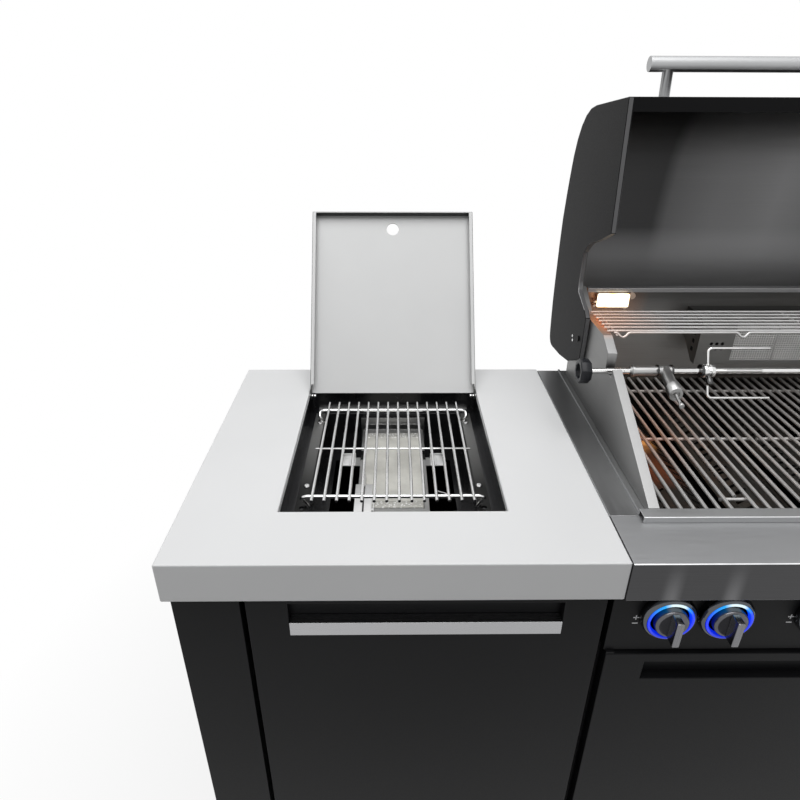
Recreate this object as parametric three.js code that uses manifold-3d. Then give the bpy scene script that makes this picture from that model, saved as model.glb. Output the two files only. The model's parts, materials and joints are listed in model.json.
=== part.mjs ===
// Outdoor kitchen island: a side module with a flush-lidded sear burner, joined to a gas grill
// whose hood stands open. Millimetres, X to the right along the front, Y to the back, Z up.
// Until the last lines, X = 0 is the side module's middle, Y = 0 the worktop's front face and
// Z = 0 the worktop's top.

import * as THREE from "three";
import { mergeVertices } from "three/addons/utils/BufferGeometryUtils.js";
import Module from "manifold-3d";

const wasm = await Module();
wasm.setup();

// Whole island
const worktopHeight = 900;
const moduleDepth = 580;
const apronHeight = 62;
const sheet = 2;
const seat = 0.3;
const returnWidth = 30;

// Cabinets
const baseHeight = 90;
const boardThickness = 15;
const frontPlane = 15;
const frontThickness = 18;
const bumper = 3;
const backInset = 10;
const frontGap = 4;
const footRadius = 25;
const footHeight = 12;
const baseInset = 12;
const baseFrontInset = 45;
const baseBackInset = 40;
const gripHeight = 35;
const gripDepth = 14;
const gripDrop = 16;
const gripStripHeight = 20;
const gripStripThickness = 2.5;

// Side module
const sideWidth = 600;
const sideInset = 6;
const moduleGap = 14;
const stileWidth = 90;
const stileGap = 7;
const drawerGripWidth = 370;
const trayWall = 85;
const trayFloorLift = 10;
const runnerWidth = 10;
const runnerHeight = 40;
const runnerLift = 25;

// Cut-out, burner well and lid of the sear burner
const cutHalfWidth = 161;
const cutFront = 107;
const cutRear = moduleDepth - 86;
const cutLip = 10;
const wellHalfWidth = 128;
const wellFront = cutFront + 18;
const wellRear = cutRear - 24;
const shelfDrop = 44;
const wellFloorDrop = 120;
const ledgeWidth = 18;
const ledgeInset = 3;
const lidHalfWidth = 159;
const lidFront = cutFront + 1.5;
const lidRear = cutRear - 24;
const lidFlange = 18;
const lidReturn = 5;
const lidPivotY = lidRear + 6;
const lidPivotZ = -8;
const lidOpenAngle = 124;
const lidEarRadius = 7.5;
const fingerHoleRadius = 12.5;
const fingerHoleInset = 30;
const pinRadius = 3;
const pinHeadRadius = 4.6;
const pinClearance = 0.3;
const wellEarX = 152;

// Sear grate, burner and tile
const searWireCount = 14;
const searWirePitch = 18.6;
const searWireRadius = 2.25;
const searWireFront = wellFront + 26;
const searWireRear = wellRear - 9;
const searWireZ = -16;
const searBarRadius = 3;
const searBarFront = wellFront + 44;
const searBarRear = wellRear - 30;
const searBarMiddle = (searBarFront + searBarRear) / 2;
const searFootX = 139;
const searBendX = 131;
const footHoleRadius = 4;
const searBurnerHalf = 58;
const searBurnerFront = wellFront + 61;
const searBurnerRear = wellRear - 24;
const searBurnerTop = -66;
const searBurnerDepth = 46;
const searFoot = 13;
const tileHalf = 49;
const tileFront = searBurnerFront + 14;
const tileRear = searBurnerRear - 15;
const tileThickness = 7;
const tileClearance = 0.5;
const inletRadius = 12;
const inletBore = 10;
const inletLength = 45;
const inletY = (searBurnerFront + searBurnerRear) / 2;
const clipSetback = 20;

// Grill module
const grillWidth = 838;
const burnerCount = 5;
const burnerPitch = 134;
const outerKnobOffset = 79;
const ledgeDepth = 94.7;
const panelPlane = 20;
const panelHeight = 115;
const panelReturn = 30;
const knobZ = -108;
const knobRadius = 23;
const knobLength = 20;
const gripBarLength = 18;
const gripBarWidth = 10;
const stemRadius = 4;
const bezelRadius = 37.5;
const bezelInner = 25;
const bezelDepth = 15;
const bezelSides = 16;
const tabReach = 12;
const hingePinRadius = 4;
const hingePinInset = 6;

// Deck, firebox and side walls
const ridgeInset = 42;
const ridgeWidth = 4;
const ridgeHeight = 3;
const deckStrip = 76;
const deckBackInset = 6;
const wallInset = 54;
const wallThickness = 15.6;
const boxInset = 80;
const boxFront = 96.4;
const boxRear = moduleDepth - 28;
const railFront = 78.8;
const railTop = 9.6;
const railInset = 41;
const rimWidth = 9;
const boxSideDrop = 95;
const boxFloorDrop = 128;
const boxFloorHalf = 40;
const grateLedge = 14;
const tamerLedge = 10;
const tamerLedgeDrop = 72;
const wallSlopeEnd = boxRear - 172;
const wallFlatEnd = boxRear - 68;
const wallDip = 3;
const rackShelf = 155;
const wallTop = 187;
const backRailDepth = 12;
const backRailFace = 8;

// Burners and grates
const manifoldY = 60;
const manifoldRadius = 10;
const valveSize = 24;
const tubeRadius = 12;
const tubeZ = -88;
const tubeRear = boxRear - 17;
const tubeHoleClearance = 2;
const tamerWidth = 104;
const tamerTop = 30;
const tamerRise = 22;
const tamerFrontGap = 2;
const tamerSlotPairs = 6;
const tamerSlotLength = 14;
const tamerSlotWidth = 5;
const tamerSlotSpread = 22;
const rodPitch = 18.17;
const rodRadius = 3;
const rodZ = -6;
const rodFrontGap = 1.5;
const outerGrateRods = 13;
const middleGrateRods = 11;
const crossRodMiddle = (boxFront + boxRear) / 2 - 7.2;
const crossRodRear = boxRear - 52;
const crossRodDrop = 5;
const liftBarY = boxFront + 49.6;

// Rear burner, lamps and warming rack
const rearBurnerHalf = 146.3;
const rearBurnerFront = boxRear - 71;
const rearBurnerBottom = 56;
const rearBurnerTop = 148;
const rearBurnerFoot = 15;
const rearBurnerHeel = 8;
const rearEndBox = 67;
const meshMargin = 8;
const meshColumns = 8;
const meshRows = 4;
const meshWire = 1.6;
const meshRecess = 1.5;
const meshPocket = 34;
const lampInset = 88;
const lampWidth = 62;
const lampHeight = 27;
const lampDepth = 20;
const lampDrop = 11;
const rackRodCount = 7;
const rackRodRadius = 2.5;
const rackFront = boxRear - 166;
const rackPitch = 17;
const rackOverhang = 11;
const rackCrossInset = 8;
const rackHookRise = 13;
const rackHookHalf = 12;
const rackHookOffsets = [-348, -149, 149, 348];

// Spit
const spitY = boxRear - 222;
const spitZ = 112;
const spitRadius = 5;
const spitNotch = 30;
const spitHandleLength = 18;
const spitHandleRadius = 20;
const spitHandleStart = 304;
const spitHandleRecess = 6;
const spitClearance = 0.3;
const sleeveLength = 70;
const sleeveRadius = 8;
const sleeveStart = 389;
const weightArm = 84;
const weightAngle = 196.7;
const weightInset = 12;
const weightRadius = 8.5;
const weightCap = 40;
const flareRadius = 11.5;
const flareEnd = 57;
const armRadius = 2.5;
const armNut = 5;
const forkStart = 509;
const forkCollarLength = 18;
const forkCollarRadius = 11;
const forkRadius = 42;
const forkTurn = 65;
const tineLength = 102;
const tineRadius = 2.2;
const tineBend = 6;
const tongueLength = 84;
const tongueOffset = 8.5;
const screwRadius = 4;
const screwLength = 14;
const screwTurn = 225;
const motorWidth = 52;
const motorDepth = 80;
const motorHeight = 100;
const bracketInset = 38;
const bracketThickness = 3;
const socketDepth = 14;

// Hood, drawn closed and then opened about its pivot
const hoodInset = 44.7;
const hoodSheet = 2;
const hoodLip = 20;
const hoodFlange = 8.6;
const hoodFront = 80;
const hoodMouth = 11;
const hoodPivotY = boxRear - 74;
const hoodPivotZ = 109.7;
const hoodOpenAngle = 94.6;
const hoodDrawnDepth = 470;
const hoodReach = (boxRear - 2 - hoodFront) / hoodDrawnDepth;
const hoodAt = (back, rise) => [hoodFront + back * hoodReach, rise];
const hoodFrontTop = hoodAt(4, 165);
const hoodBrow = hoodAt(121, 283);
const hoodBrowControl = hoodAt(6, 254);
const hoodCrown = [hoodAt(204.5, 304), hoodAt(298, 313), hoodAt(380, 317.5), hoodAt(445, 315)];
const hoodRearControl = hoodAt(470, 313);
const hoodRear = hoodAt(470, 287);
const hoodRearFoot = hoodAt(468, 224);
const hoodLobe = [hoodAt(461, 165), hoodAt(446, 126), hoodAt(432, 92), hoodAt(391, 86), hoodAt(352, 83)];
const hoodNotch = [hoodAt(340.5, 97), hoodAt(318, 144.5), hoodAt(299.5, 147.4), hoodAt(245, 140),
  hoodAt(226, 113.5), hoodAt(210, 54.5)];
const hoodNotchFoot = hoodAt(195, hoodMouth);
const boltRadius = 4;
const boltHeadRadius = 5.5;
const boltHeadHeight = 2;
const boltClearance = 0.3;
const handleHalf = 330;
const handlePostInset = 30;
const handleRadius = 11;
const handleReach = 48;
const handleZ = 70;
const postRadius = 8;

// Drip tray
const dripHalf = 240;
const dripFront = 130;
const dripHeight = 28;
const dripRailHeight = 12;
const dripRailTop = -178;
const dripRailInset = 20;
const dripPlateMargin = 10;
const dripPull = 60;

// Places worked out from the sizes above
const sideLeft = -sideWidth / 2;
const sideRight = sideWidth / 2;
const grillLeft = sideRight + seat;
const grillRight = grillLeft + grillWidth;
const grillMiddle = (grillLeft + grillRight) / 2;
const floorZ = -worktopHeight;
const carcassBottom = floorZ + baseHeight;
const carcassTop = -apronHeight - seat;
const carcassFront = frontPlane + frontThickness + bumper;
const carcassBack = moduleDepth - backInset;
const burnerX = [];
for (let index = 0; index < burnerCount; index += 1) {
  burnerX.push(grillMiddle + (index - (burnerCount - 1) / 2) * burnerPitch);
}
const knobX = [burnerX[0] - outerKnobOffset, ...burnerX, burnerX[burnerCount - 1] + outerKnobOffset];

// Finishes
function finish(color, roughness, metalness) {
  return new THREE.MeshStandardMaterial({ color, roughness, metalness, side: THREE.FrontSide });
}
const greyPaint = finish(0xd9dbdb, 0.5, 0.1);
const blackPaint = finish(0x232426, 0.55, 0.3);
const hoodPaint = finish(0x3a3b3d, 0.45, 0.6);
const brushedSteel = finish(0x8d8f92, 0.35, 0.9);
const brightSteel = finish(0xc9cacb, 0.25, 1.0);
const blackSteel = finish(0x191a1b, 0.6, 0.5);
const darkSteel = finish(0x4b4a48, 0.5, 0.8);
const ceramic = finish(0xc9c5b8, 0.95, 0.0);
const blackPlastic = finish(0x1d1d22, 0.6, 0.0);
const lampGlass = finish(0xffe2b8, 0.2, 0.0);

// Solids and how they are joined and cut. Corners lie on a grid of a thousandth of a millimetre
function solidFrom(positions, corners) {
  const snapped = Float32Array.from(positions, (value) => Math.round(value * 1000) / 1000);
  return new wasm.Manifold(new wasm.Mesh({
    numProp: 3,
    vertProperties: snapped,
    triVerts: Uint32Array.from(corners),
  }));
}

function solidOf(geometry) {
  const source = geometry.clone();
  source.deleteAttribute("normal");
  source.deleteAttribute("uv");
  const merged = mergeVertices(source, 1e-4);
  return solidFrom(merged.attributes.position.array, merged.index.array);
}

// The same solid on the other side of the plane X = middle
function mirrored(solid, middle) {
  const data = solid.getMesh();
  const positions = data.vertProperties.map((value, index) => (index % 3 === 0 ? 2 * middle - value : value));
  const corners = data.triVerts.map((corner, index) => data.triVerts[index - (index % 3) + 2 - (index % 3)]);
  return solidFrom(positions, corners);
}

function join(first, ...others) {
  return others.reduce((whole, other) => whole.add(other), first);
}

function cut(first, ...others) {
  return others.reduce((whole, other) => whole.subtract(other), first);
}

function block(x0, x1, y0, y1, z0, z1) {
  const box = new THREE.BoxGeometry(x1 - x0, y1 - y0, z1 - z0);
  box.translate((x0 + x1) / 2, (y0 + y1) / 2, (z0 + z1) / 2);
  return solidOf(box);
}

// A rectangular tube standing along Z: a frame of the given wall inside the outer rectangle
function ring(x0, x1, y0, y1, z0, z1, wall) {
  return cut(block(x0, x1, y0, y1, z0, z1),
    block(x0 + wall, x1 - wall, y0 + wall, y1 - wall, z0 - 1, z1 + 1));
}

function shapeOf(points) {
  return new THREE.Shape(points.map(([a, b]) => new THREE.Vector2(a, b)));
}

// An outline in Y and Z, extruded along X
function alongX(points, x0, x1) {
  const geometry = new THREE.ExtrudeGeometry(shapeOf(points), { depth: x1 - x0, bevelEnabled: false });
  const turn = new THREE.Matrix4().makeBasis(
    new THREE.Vector3(0, 1, 0), new THREE.Vector3(0, 0, 1), new THREE.Vector3(1, 0, 0));
  geometry.applyMatrix4(turn);
  geometry.translate(x0, 0, 0);
  return solidOf(geometry);
}

// An outline in X and Z, extruded along Y
function alongY(points, y0, y1) {
  const geometry = new THREE.ExtrudeGeometry(shapeOf(points), { depth: y1 - y0, bevelEnabled: false });
  const turn = new THREE.Matrix4().makeBasis(
    new THREE.Vector3(1, 0, 0), new THREE.Vector3(0, 0, 1), new THREE.Vector3(0, -1, 0));
  geometry.applyMatrix4(turn);
  geometry.translate(0, y1, 0);
  return solidOf(geometry);
}

// A round bar between two points
function bar(from, to, radius, sides = 12) {
  const start = new THREE.Vector3(...from);
  const end = new THREE.Vector3(...to);
  const span = end.clone().sub(start);
  const geometry = new THREE.CylinderGeometry(radius, radius, span.length(), sides);
  geometry.translate(0, span.length() / 2, 0);
  const turn = new THREE.Quaternion().setFromUnitVectors(new THREE.Vector3(0, 1, 0), span.normalize());
  geometry.applyQuaternion(turn);
  geometry.translate(start.x, start.y, start.z);
  return solidOf(geometry);
}

// A turned profile of [radius, distance] pairs, its axis along -Y from the given point
function turnedAlongY(profile, x, y, z, sides) {
  const geometry = new THREE.LatheGeometry(profile.map(([r, d]) => new THREE.Vector2(r, d)), sides);
  geometry.rotateX(Math.PI);
  geometry.translate(x, y, z);
  return solidOf(geometry);
}

// A path whose sections stand exactly at its own points
class WirePath extends THREE.Curve {
  constructor(points) {
    super();
    this.points = points;
  }
  getPoint(t, target = new THREE.Vector3()) {
    const place = t * (this.points.length - 1);
    const index = Math.min(Math.floor(place), this.points.length - 2);
    return target.lerpVectors(this.points[index], this.points[index + 1], place - index);
  }
  getPointAt(u, target) {
    return this.getPoint(u, target);
  }
  getTangentAt(u, target = new THREE.Vector3()) {
    const index = Math.round(u * (this.points.length - 1));
    const before = this.points[Math.max(index - 1, 0)];
    const after = this.points[Math.min(index + 1, this.points.length - 1)];
    return target.subVectors(after, before).normalize();
  }
}

// A wire through corner points, each inner corner rounded by the bend length
function bentWire(corners, radius, bend, sides = 8, bendSteps = 3) {
  const nodes = corners.map((corner) => new THREE.Vector3(...corner));
  const points = [nodes[0]];
  for (let index = 1; index < nodes.length - 1; index += 1) {
    const inward = nodes[index - 1].clone().sub(nodes[index]).normalize().multiplyScalar(bend);
    const outward = nodes[index + 1].clone().sub(nodes[index]).normalize().multiplyScalar(bend);
    const curve = new THREE.QuadraticBezierCurve3(
      nodes[index].clone().add(inward), nodes[index], nodes[index].clone().add(outward));
    points.push(...curve.getPoints(bendSteps));
  }
  points.push(nodes[nodes.length - 1]);
  const section = new THREE.Shape();
  section.absarc(0, 0, radius, 0, Math.PI * 2, false);
  const sectionPoints = section.getSpacedPoints(sides).slice(0, sides);
  const geometry = new THREE.ExtrudeGeometry(new THREE.Shape(sectionPoints), {
    steps: points.length - 1,
    extrudePath: new WirePath(points),
    bevelEnabled: false,
  });
  return solidOf(geometry);
}

// A closed clockwise outline moved inwards by a distance, its corners mitred
function insetOutline(points, distance) {
  const last = points.length - 1;
  const inward = (from, to) => new THREE.Vector2(to[1] - from[1], from[0] - to[0]).normalize();
  return points.map((point, index) => {
    const before = inward(points[index === 0 ? last : index - 1], point);
    const after = inward(point, points[index === last ? 0 : index + 1]);
    const reach = distance / (1 + before.dot(after));
    return [point[0] + (before.x + after.x) * reach, point[1] + (before.y + after.y) * reach];
  });
}

// The island and its turned groups
const model = new THREE.Group();

function turnedGroup(y, z, degrees) {
  const group = new THREE.Group();
  group.position.set(0, y, z);
  group.rotation.x = -THREE.MathUtils.degToRad(degrees);
  model.add(group);
  return group;
}

function addPiece(name, solid, material, parent = model) {
  const data = solid.getMesh();
  const geometry = new THREE.BufferGeometry();
  geometry.setAttribute("position", new THREE.Float32BufferAttribute(data.vertProperties, 3));
  geometry.setIndex(new THREE.Uint32BufferAttribute(data.triVerts, 1));
  geometry.translate(-parent.position.x, -parent.position.y, -parent.position.z);
  const flat = geometry.toNonIndexed();
  flat.computeVertexNormals();
  const mesh = new THREE.Mesh(flat, material);
  mesh.name = name;
  parent.add(mesh);
}

const lidGroup = turnedGroup(lidPivotY, lidPivotZ, lidOpenAngle);
const hoodGroup = turnedGroup(hoodPivotY, hoodPivotZ, hoodOpenAngle);

// A tray of folded sheet, open below, with a return flange at its foot
function foldedTray(x0, x1, y0, y1) {
  const top = block(x0, x1, y0, y1, -sheet, 0);
  const skirt = ring(x0, x1, y0, y1, -apronHeight, 0, sheet);
  const returns = ring(x0, x1, y0, y1, -apronHeight, -apronHeight + sheet, returnWidth);
  return join(top, skirt, returns);
}

function makeSideWorktop() {
  const lip = ring(-cutHalfWidth - sheet, cutHalfWidth + sheet, cutFront - sheet, cutRear + sheet,
    -cutLip, -sheet / 2, sheet);
  const opening = block(-cutHalfWidth, cutHalfWidth, cutFront, cutRear, -apronHeight, sheet);
  const tray = foldedTray(sideLeft, sideRight, 0, moduleDepth);
  addPiece("side_worktop", cut(join(tray, lip), opening), greyPaint);
}

// A base frame with a levelling foot under each corner
function baseFrame(x0, x1, feetX) {
  const left = x0 + baseInset;
  const right = x1 - baseInset;
  const front = baseFrontInset;
  const back = moduleDepth - baseBackInset;
  let frame = ring(left, right, front, back, floorZ + footHeight, carcassBottom - seat, boardThickness);
  for (const x of feetX) {
    for (const y of [front + footRadius, back - footRadius]) {
      const foot = bar([x, y, floorZ], [x, y, floorZ + footHeight + 1], footRadius, 12);
      const stand = block(x - footRadius, x + footRadius, y - footRadius, y + footRadius,
        floorZ + footHeight, floorZ + footHeight + boardThickness);
      frame = join(frame, foot, stand);
    }
  }
  return frame;
}

function makeSideCabinet() {
  const left = sideLeft + sideInset;
  const right = sideRight - moduleGap;
  const stileRight = left + stileWidth;
  const dividerLeft = stileRight - boardThickness;
  const floorTop = carcassBottom + boardThickness;
  const runnerBottom = floorTop + runnerLift;
  let carcass = join(
    block(left, left + boardThickness, carcassFront, carcassBack, carcassBottom, carcassTop),
    block(right - boardThickness, right, carcassFront, carcassBack, carcassBottom, carcassTop),
    block(dividerLeft, stileRight, carcassFront, carcassBack, carcassBottom, carcassTop),
    block(left, right, carcassBack - boardThickness, carcassBack, carcassBottom, carcassTop),
    block(left, right, carcassFront, carcassBack, carcassBottom, floorTop),
    block(left, right, carcassFront, carcassFront + 2 * boardThickness,
      carcassTop - boardThickness, carcassTop),
    block(left, stileRight, frontPlane, carcassFront + boardThickness, carcassBottom, carcassTop));
  for (const [inner, outer] of [[stileRight, stileRight + runnerWidth],
    [right - boardThickness - runnerWidth, right - boardThickness]]) {
    carcass = join(carcass, block(inner, outer, carcassFront + bumper, carcassBack - boardThickness,
      runnerBottom, runnerBottom + runnerHeight));
  }
  addPiece("side_cabinet", carcass, blackPaint);
  const footX = baseInset + footRadius;
  addPiece("side_base_frame", baseFrame(left, right, [left + footX, right - footX]), blackSteel);
}

// A cabinet front with a recessed grip near its top edge
function cabinetFront(x0, x1, z0, z1, gripWidth) {
  const middle = (x0 + x1) / 2;
  const gripTop = z1 - gripDrop;
  return cut(block(x0, x1, frontPlane, frontPlane + frontThickness, z0, z1),
    block(middle - gripWidth / 2, middle + gripWidth / 2, frontPlane - 1, frontPlane + gripDepth,
      gripTop - gripHeight, gripTop));
}

function makeDrawer() {
  const left = sideLeft + sideInset + stileWidth + stileGap;
  const right = sideRight - moduleGap;
  const top = -apronHeight - frontGap;
  const bottom = carcassBottom + frontGap;
  addPiece("drawer_front", cabinetFront(left, right, bottom, top, drawerGripWidth), blackPaint);

  const middle = (left + right) / 2;
  const half = drawerGripWidth / 2 - seat;
  const lipTop = top - gripDrop - gripHeight;
  const outer = frontPlane - seat;
  const strip = [
    [outer, lipTop - gripStripHeight], [outer, lipTop + seat],
    [frontPlane + gripDepth - seat, lipTop + seat],
    [frontPlane + gripDepth - seat, lipTop + seat + gripStripThickness],
    [outer - gripStripThickness, lipTop + seat + gripStripThickness],
    [outer - gripStripThickness, lipTop - gripStripHeight]];
  addPiece("drawer_grip", alongX(strip, middle - half, middle + half), brushedSteel);

  const trayLeft = sideLeft + sideInset + stileWidth + runnerWidth + seat;
  const trayRight = right - boardThickness - runnerWidth - seat;
  const trayBottom = carcassBottom + boardThickness + trayFloorLift;
  const trayFront = frontPlane + frontThickness + seat;
  const trayBack = carcassBack - boardThickness - bumper;
  const tray = join(
    block(trayLeft, trayRight, trayFront, trayBack, trayBottom, trayBottom + sheet),
    ring(trayLeft, trayRight, trayFront, trayBack, trayBottom, trayBottom + trayWall, sheet));
  addPiece("drawer_tray", tray, darkSteel);
}

function makeBurnerWell() {
  const outerX = cutHalfWidth + sheet;
  const upper = ring(-outerX, outerX, cutFront - sheet, cutRear + sheet,
    -shelfDrop - sheet, -cutLip - seat, sheet);
  const shelf = cut(
    block(-outerX, outerX, cutFront - sheet, cutRear + sheet, -shelfDrop - sheet, -shelfDrop),
    block(-wellHalfWidth, wellHalfWidth, wellFront, wellRear, -shelfDrop - 2 * sheet, 0));
  const lower = ring(-wellHalfWidth - sheet, wellHalfWidth + sheet, wellFront - sheet, wellRear + sheet,
    -wellFloorDrop - sheet, -shelfDrop, sheet);
  const floor = block(-wellHalfWidth, wellHalfWidth, wellFront, wellRear,
    -wellFloorDrop - sheet, -wellFloorDrop);
  let well = join(upper, shelf, lower, floor);
  const slotInner = searBurnerHalf / 2;
  for (const side of [-1, 1]) {
    const near = side * slotInner;
    const far = side * (wellHalfWidth - ledgeWidth);
    const slot = block(Math.min(near, far), Math.max(near, far), searBurnerFront + 2 * searFoot,
      searBurnerRear - 2 * searFoot, -wellFloorDrop - 2 * sheet, -wellFloorDrop + sheet);
    well = cut(well, slot);
    const earLow = side * wellEarX;
    const earHigh = side * (wellEarX + sheet);
    const earHalf = lidEarRadius - 1.8;
    const earTop = lidPivotZ;
    const ear = join(
      block(Math.min(earLow, earHigh), Math.max(earLow, earHigh), lidPivotY - earHalf,
        lidPivotY + earHalf, -shelfDrop - sheet / 2, earTop),
      bar([earLow, lidPivotY, lidPivotZ], [earHigh, lidPivotY, lidPivotZ], earHalf, 12));
    const bore = bar([earLow - side, lidPivotY, lidPivotZ], [earHigh + side, lidPivotY, lidPivotZ],
      pinRadius + pinClearance, 12);
    well = cut(join(well, ear), bore);
  }
  const inletHole = bar([0, inletY, -wellFloorDrop - 2 * sheet], [0, inletY, -wellFloorDrop + sheet],
    inletRadius + 2 * sheet, 16);
  addPiece("burner_well", cut(well, inletHole), blackSteel);

  for (const [name, side] of [["well_ledge_left", -1], ["well_ledge_right", 1]]) {
    const inner = side * (wellHalfWidth + ledgeInset);
    const outer = side * (wellHalfWidth + ledgeInset + ledgeWidth);
    let ledge = block(Math.min(inner, outer), Math.max(inner, outer), wellFront, wellRear - bumper,
      -shelfDrop + seat, -shelfDrop + seat + sheet);
    for (const y of [searBarFront, searBarRear]) {
      ledge = cut(ledge, bar([side * searFootX, y, -shelfDrop - sheet],
        [side * searFootX, y, -shelfDrop + 2 * sheet], footHoleRadius, 12));
    }
    addPiece(name, ledge, brushedSteel);
  }
}

function makeSearGrate() {
  const barZ = searWireZ - searWireRadius - searBarRadius + 1;
  const footZ = -shelfDrop + 0.5;
  const middleZ = searWireZ - searWireRadius;
  const reach = (searWireCount - 1) / 2 * searWirePitch;
  let grate = null;
  for (let index = 0; index < searWireCount; index += 1) {
    const x = -reach + index * searWirePitch;
    const wire = bar([x, searWireFront, searWireZ], [x, searWireRear, searWireZ], searWireRadius, 6);
    grate = grate ? grate.add(wire) : wire;
  }
  for (const y of [searBarFront, searBarRear]) {
    const corners = [[-searFootX, y, footZ], [-searFootX, y, barZ - 7], [-searBendX, y, barZ],
      [searBendX, y, barZ], [searFootX, y, barZ - 7], [searFootX, y, footZ]];
    grate = grate.add(bentWire(corners, searBarRadius, 4, 6, 1));
  }
  const thin = bar([-reach - searWirePitch / 2, searBarMiddle, middleZ],
    [reach + searWirePitch / 2, searBarMiddle, middleZ], searWireRadius * 0.8, 6);
  addPiece("sear_grate", grate.add(thin), brightSteel);
}

function makeSearBurner() {
  const bottom = searBurnerTop - searBurnerDepth;
  const pocketFloor = searBurnerTop - tileThickness - tileClearance;
  let housing = block(-searBurnerHalf, searBurnerHalf, searBurnerFront, searBurnerRear,
    bottom, searBurnerTop);
  housing = join(housing, bar([0, inletY, bottom - inletLength], [0, inletY, bottom + 1], inletRadius, 16));
  for (const sideX of [-1, 1]) {
    for (const y of [searBurnerFront, searBurnerRear - searFoot]) {
      const x = sideX * (searBurnerHalf - searFoot / 2);
      housing = join(housing, block(x - searFoot / 2, x + searFoot / 2, y, y + searFoot,
        -wellFloorDrop + seat, bottom + 1));
    }
    const near = sideX * (searBurnerHalf - 1);
    const far = sideX * (searBurnerHalf + 26);
    const clipY = inletY + clipSetback;
    housing = join(housing, block(Math.min(near, far), Math.max(near, far), clipY - searFoot,
      clipY + searFoot, searBurnerTop - 2 * sheet, searBurnerTop - sheet));
  }
  const plenum = block(-searBurnerHalf + sheet, searBurnerHalf - sheet, searBurnerFront + sheet,
    searBurnerRear - sheet, bottom + sheet, pocketFloor - sheet);
  const pocket = block(-tileHalf - tileClearance, tileHalf + tileClearance, tileFront - tileClearance,
    tileRear + tileClearance, pocketFloor, searBurnerTop + 1);
  const bore = bar([0, inletY, bottom - inletLength - 1], [0, inletY, bottom + sheet + 1], inletBore, 16);
  addPiece("sear_burner", cut(housing, plenum, pocket, bore), brushedSteel);

  addPiece("sear_tile", block(-tileHalf, tileHalf, tileFront, tileRear,
    pocketFloor + seat, searBurnerTop + tileClearance), ceramic);

  const plateZ = searBurnerTop + tileClearance + seat;
  const igniter = join(
    block(-searBurnerHalf - 4, -searBurnerHalf + 24, searBurnerFront, tileFront + searBurnerHalf,
      plateZ, plateZ + 1.5),
    block(-searBurnerHalf + 9, -searBurnerHalf + 11, searBurnerFront, tileFront + searBurnerHalf,
      plateZ, plateZ + 9),
    bar([-searBurnerHalf + 18, tileFront + searBurnerHalf / 2, plateZ + 3],
      [-searBurnerHalf + 18, tileFront + 1.6 * searBurnerHalf, plateZ + 3], 2.5, 10));
  addPiece("sear_igniter", igniter, brightSteel);
}

function makeLid() {
  const inner = lidHalfWidth - sheet;
  const earPoints = [];
  for (let degrees = 100; degrees >= -90; degrees -= 19) {
    const angle = THREE.MathUtils.degToRad(degrees);
    earPoints.push([lidPivotY + lidEarRadius * Math.cos(angle), lidPivotZ + lidEarRadius * Math.sin(angle)]);
  }
  const sideOutline = [[lidFront, -lidFlange], [lidFront, 0], [lidRear, 0], ...earPoints,
    [lidRear - lidReturn, -lidFlange]];
  const behind = lidPivotY + 2 * lidEarRadius;
  let lid = cut(alongX(sideOutline, -lidHalfWidth, lidHalfWidth),
    block(-inner, inner, lidFront + sheet, behind, -lidFlange + sheet, -sheet),
    block(-inner + lidReturn, inner - lidReturn, lidFront + sheet, behind, -lidFlange - 1, -lidFlange + 3),
    block(-inner, inner, lidRear - 2 * lidEarRadius, behind, -lidFlange - 1, -lidFlange + 3),
    block(-inner, inner, lidRear, behind, -lidFlange, 1));
  for (const side of [-1, 1]) {
    lid = cut(lid, bar([side * (inner - 1), lidPivotY, lidPivotZ], [side * (lidHalfWidth + 1),
      lidPivotY, lidPivotZ], pinRadius + pinClearance, 12));
  }
  const holeY = lidFront + fingerHoleInset;
  lid = cut(lid, bar([0, holeY, -2 * sheet], [0, holeY, sheet], fingerHoleRadius, 24));
  addPiece("sear_lid", lid, greyPaint, lidGroup);

  for (const [name, side] of [["lid_pin_left", -1], ["lid_pin_right", 1]]) {
    const end = side * (wellEarX - bumper);
    const shoulder = side * (lidHalfWidth + seat);
    const head = side * (lidHalfWidth + seat + 1.3);
    const pin = join(
      bar([end, lidPivotY, lidPivotZ], [head, lidPivotY, lidPivotZ], pinRadius, 12),
      bar([shoulder, lidPivotY, lidPivotZ], [head, lidPivotY, lidPivotZ], pinHeadRadius, 12));
    addPiece(name, pin, brightSteel);
  }
}

// Two rails and the strip that joins their front ends, between the cabinet's front rail and its back
function makeDripRails() {
  const front = carcassFront + boardThickness + seat;
  const back = carcassBack - boardThickness - seat;
  const low = dripRailTop - dripRailHeight;
  const outer = dripHalf;
  const inner = dripHalf - 2 * dripRailInset;
  const rails = join(
    block(grillMiddle - outer, grillMiddle - inner, front, back, low, dripRailTop),
    block(grillMiddle + inner, grillMiddle + outer, front, back, low, dripRailTop),
    block(grillMiddle - outer, grillMiddle + outer, front, front + dripRailInset, low, dripRailTop));
  addPiece("drip_rails", rails, blackSteel);
}

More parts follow.
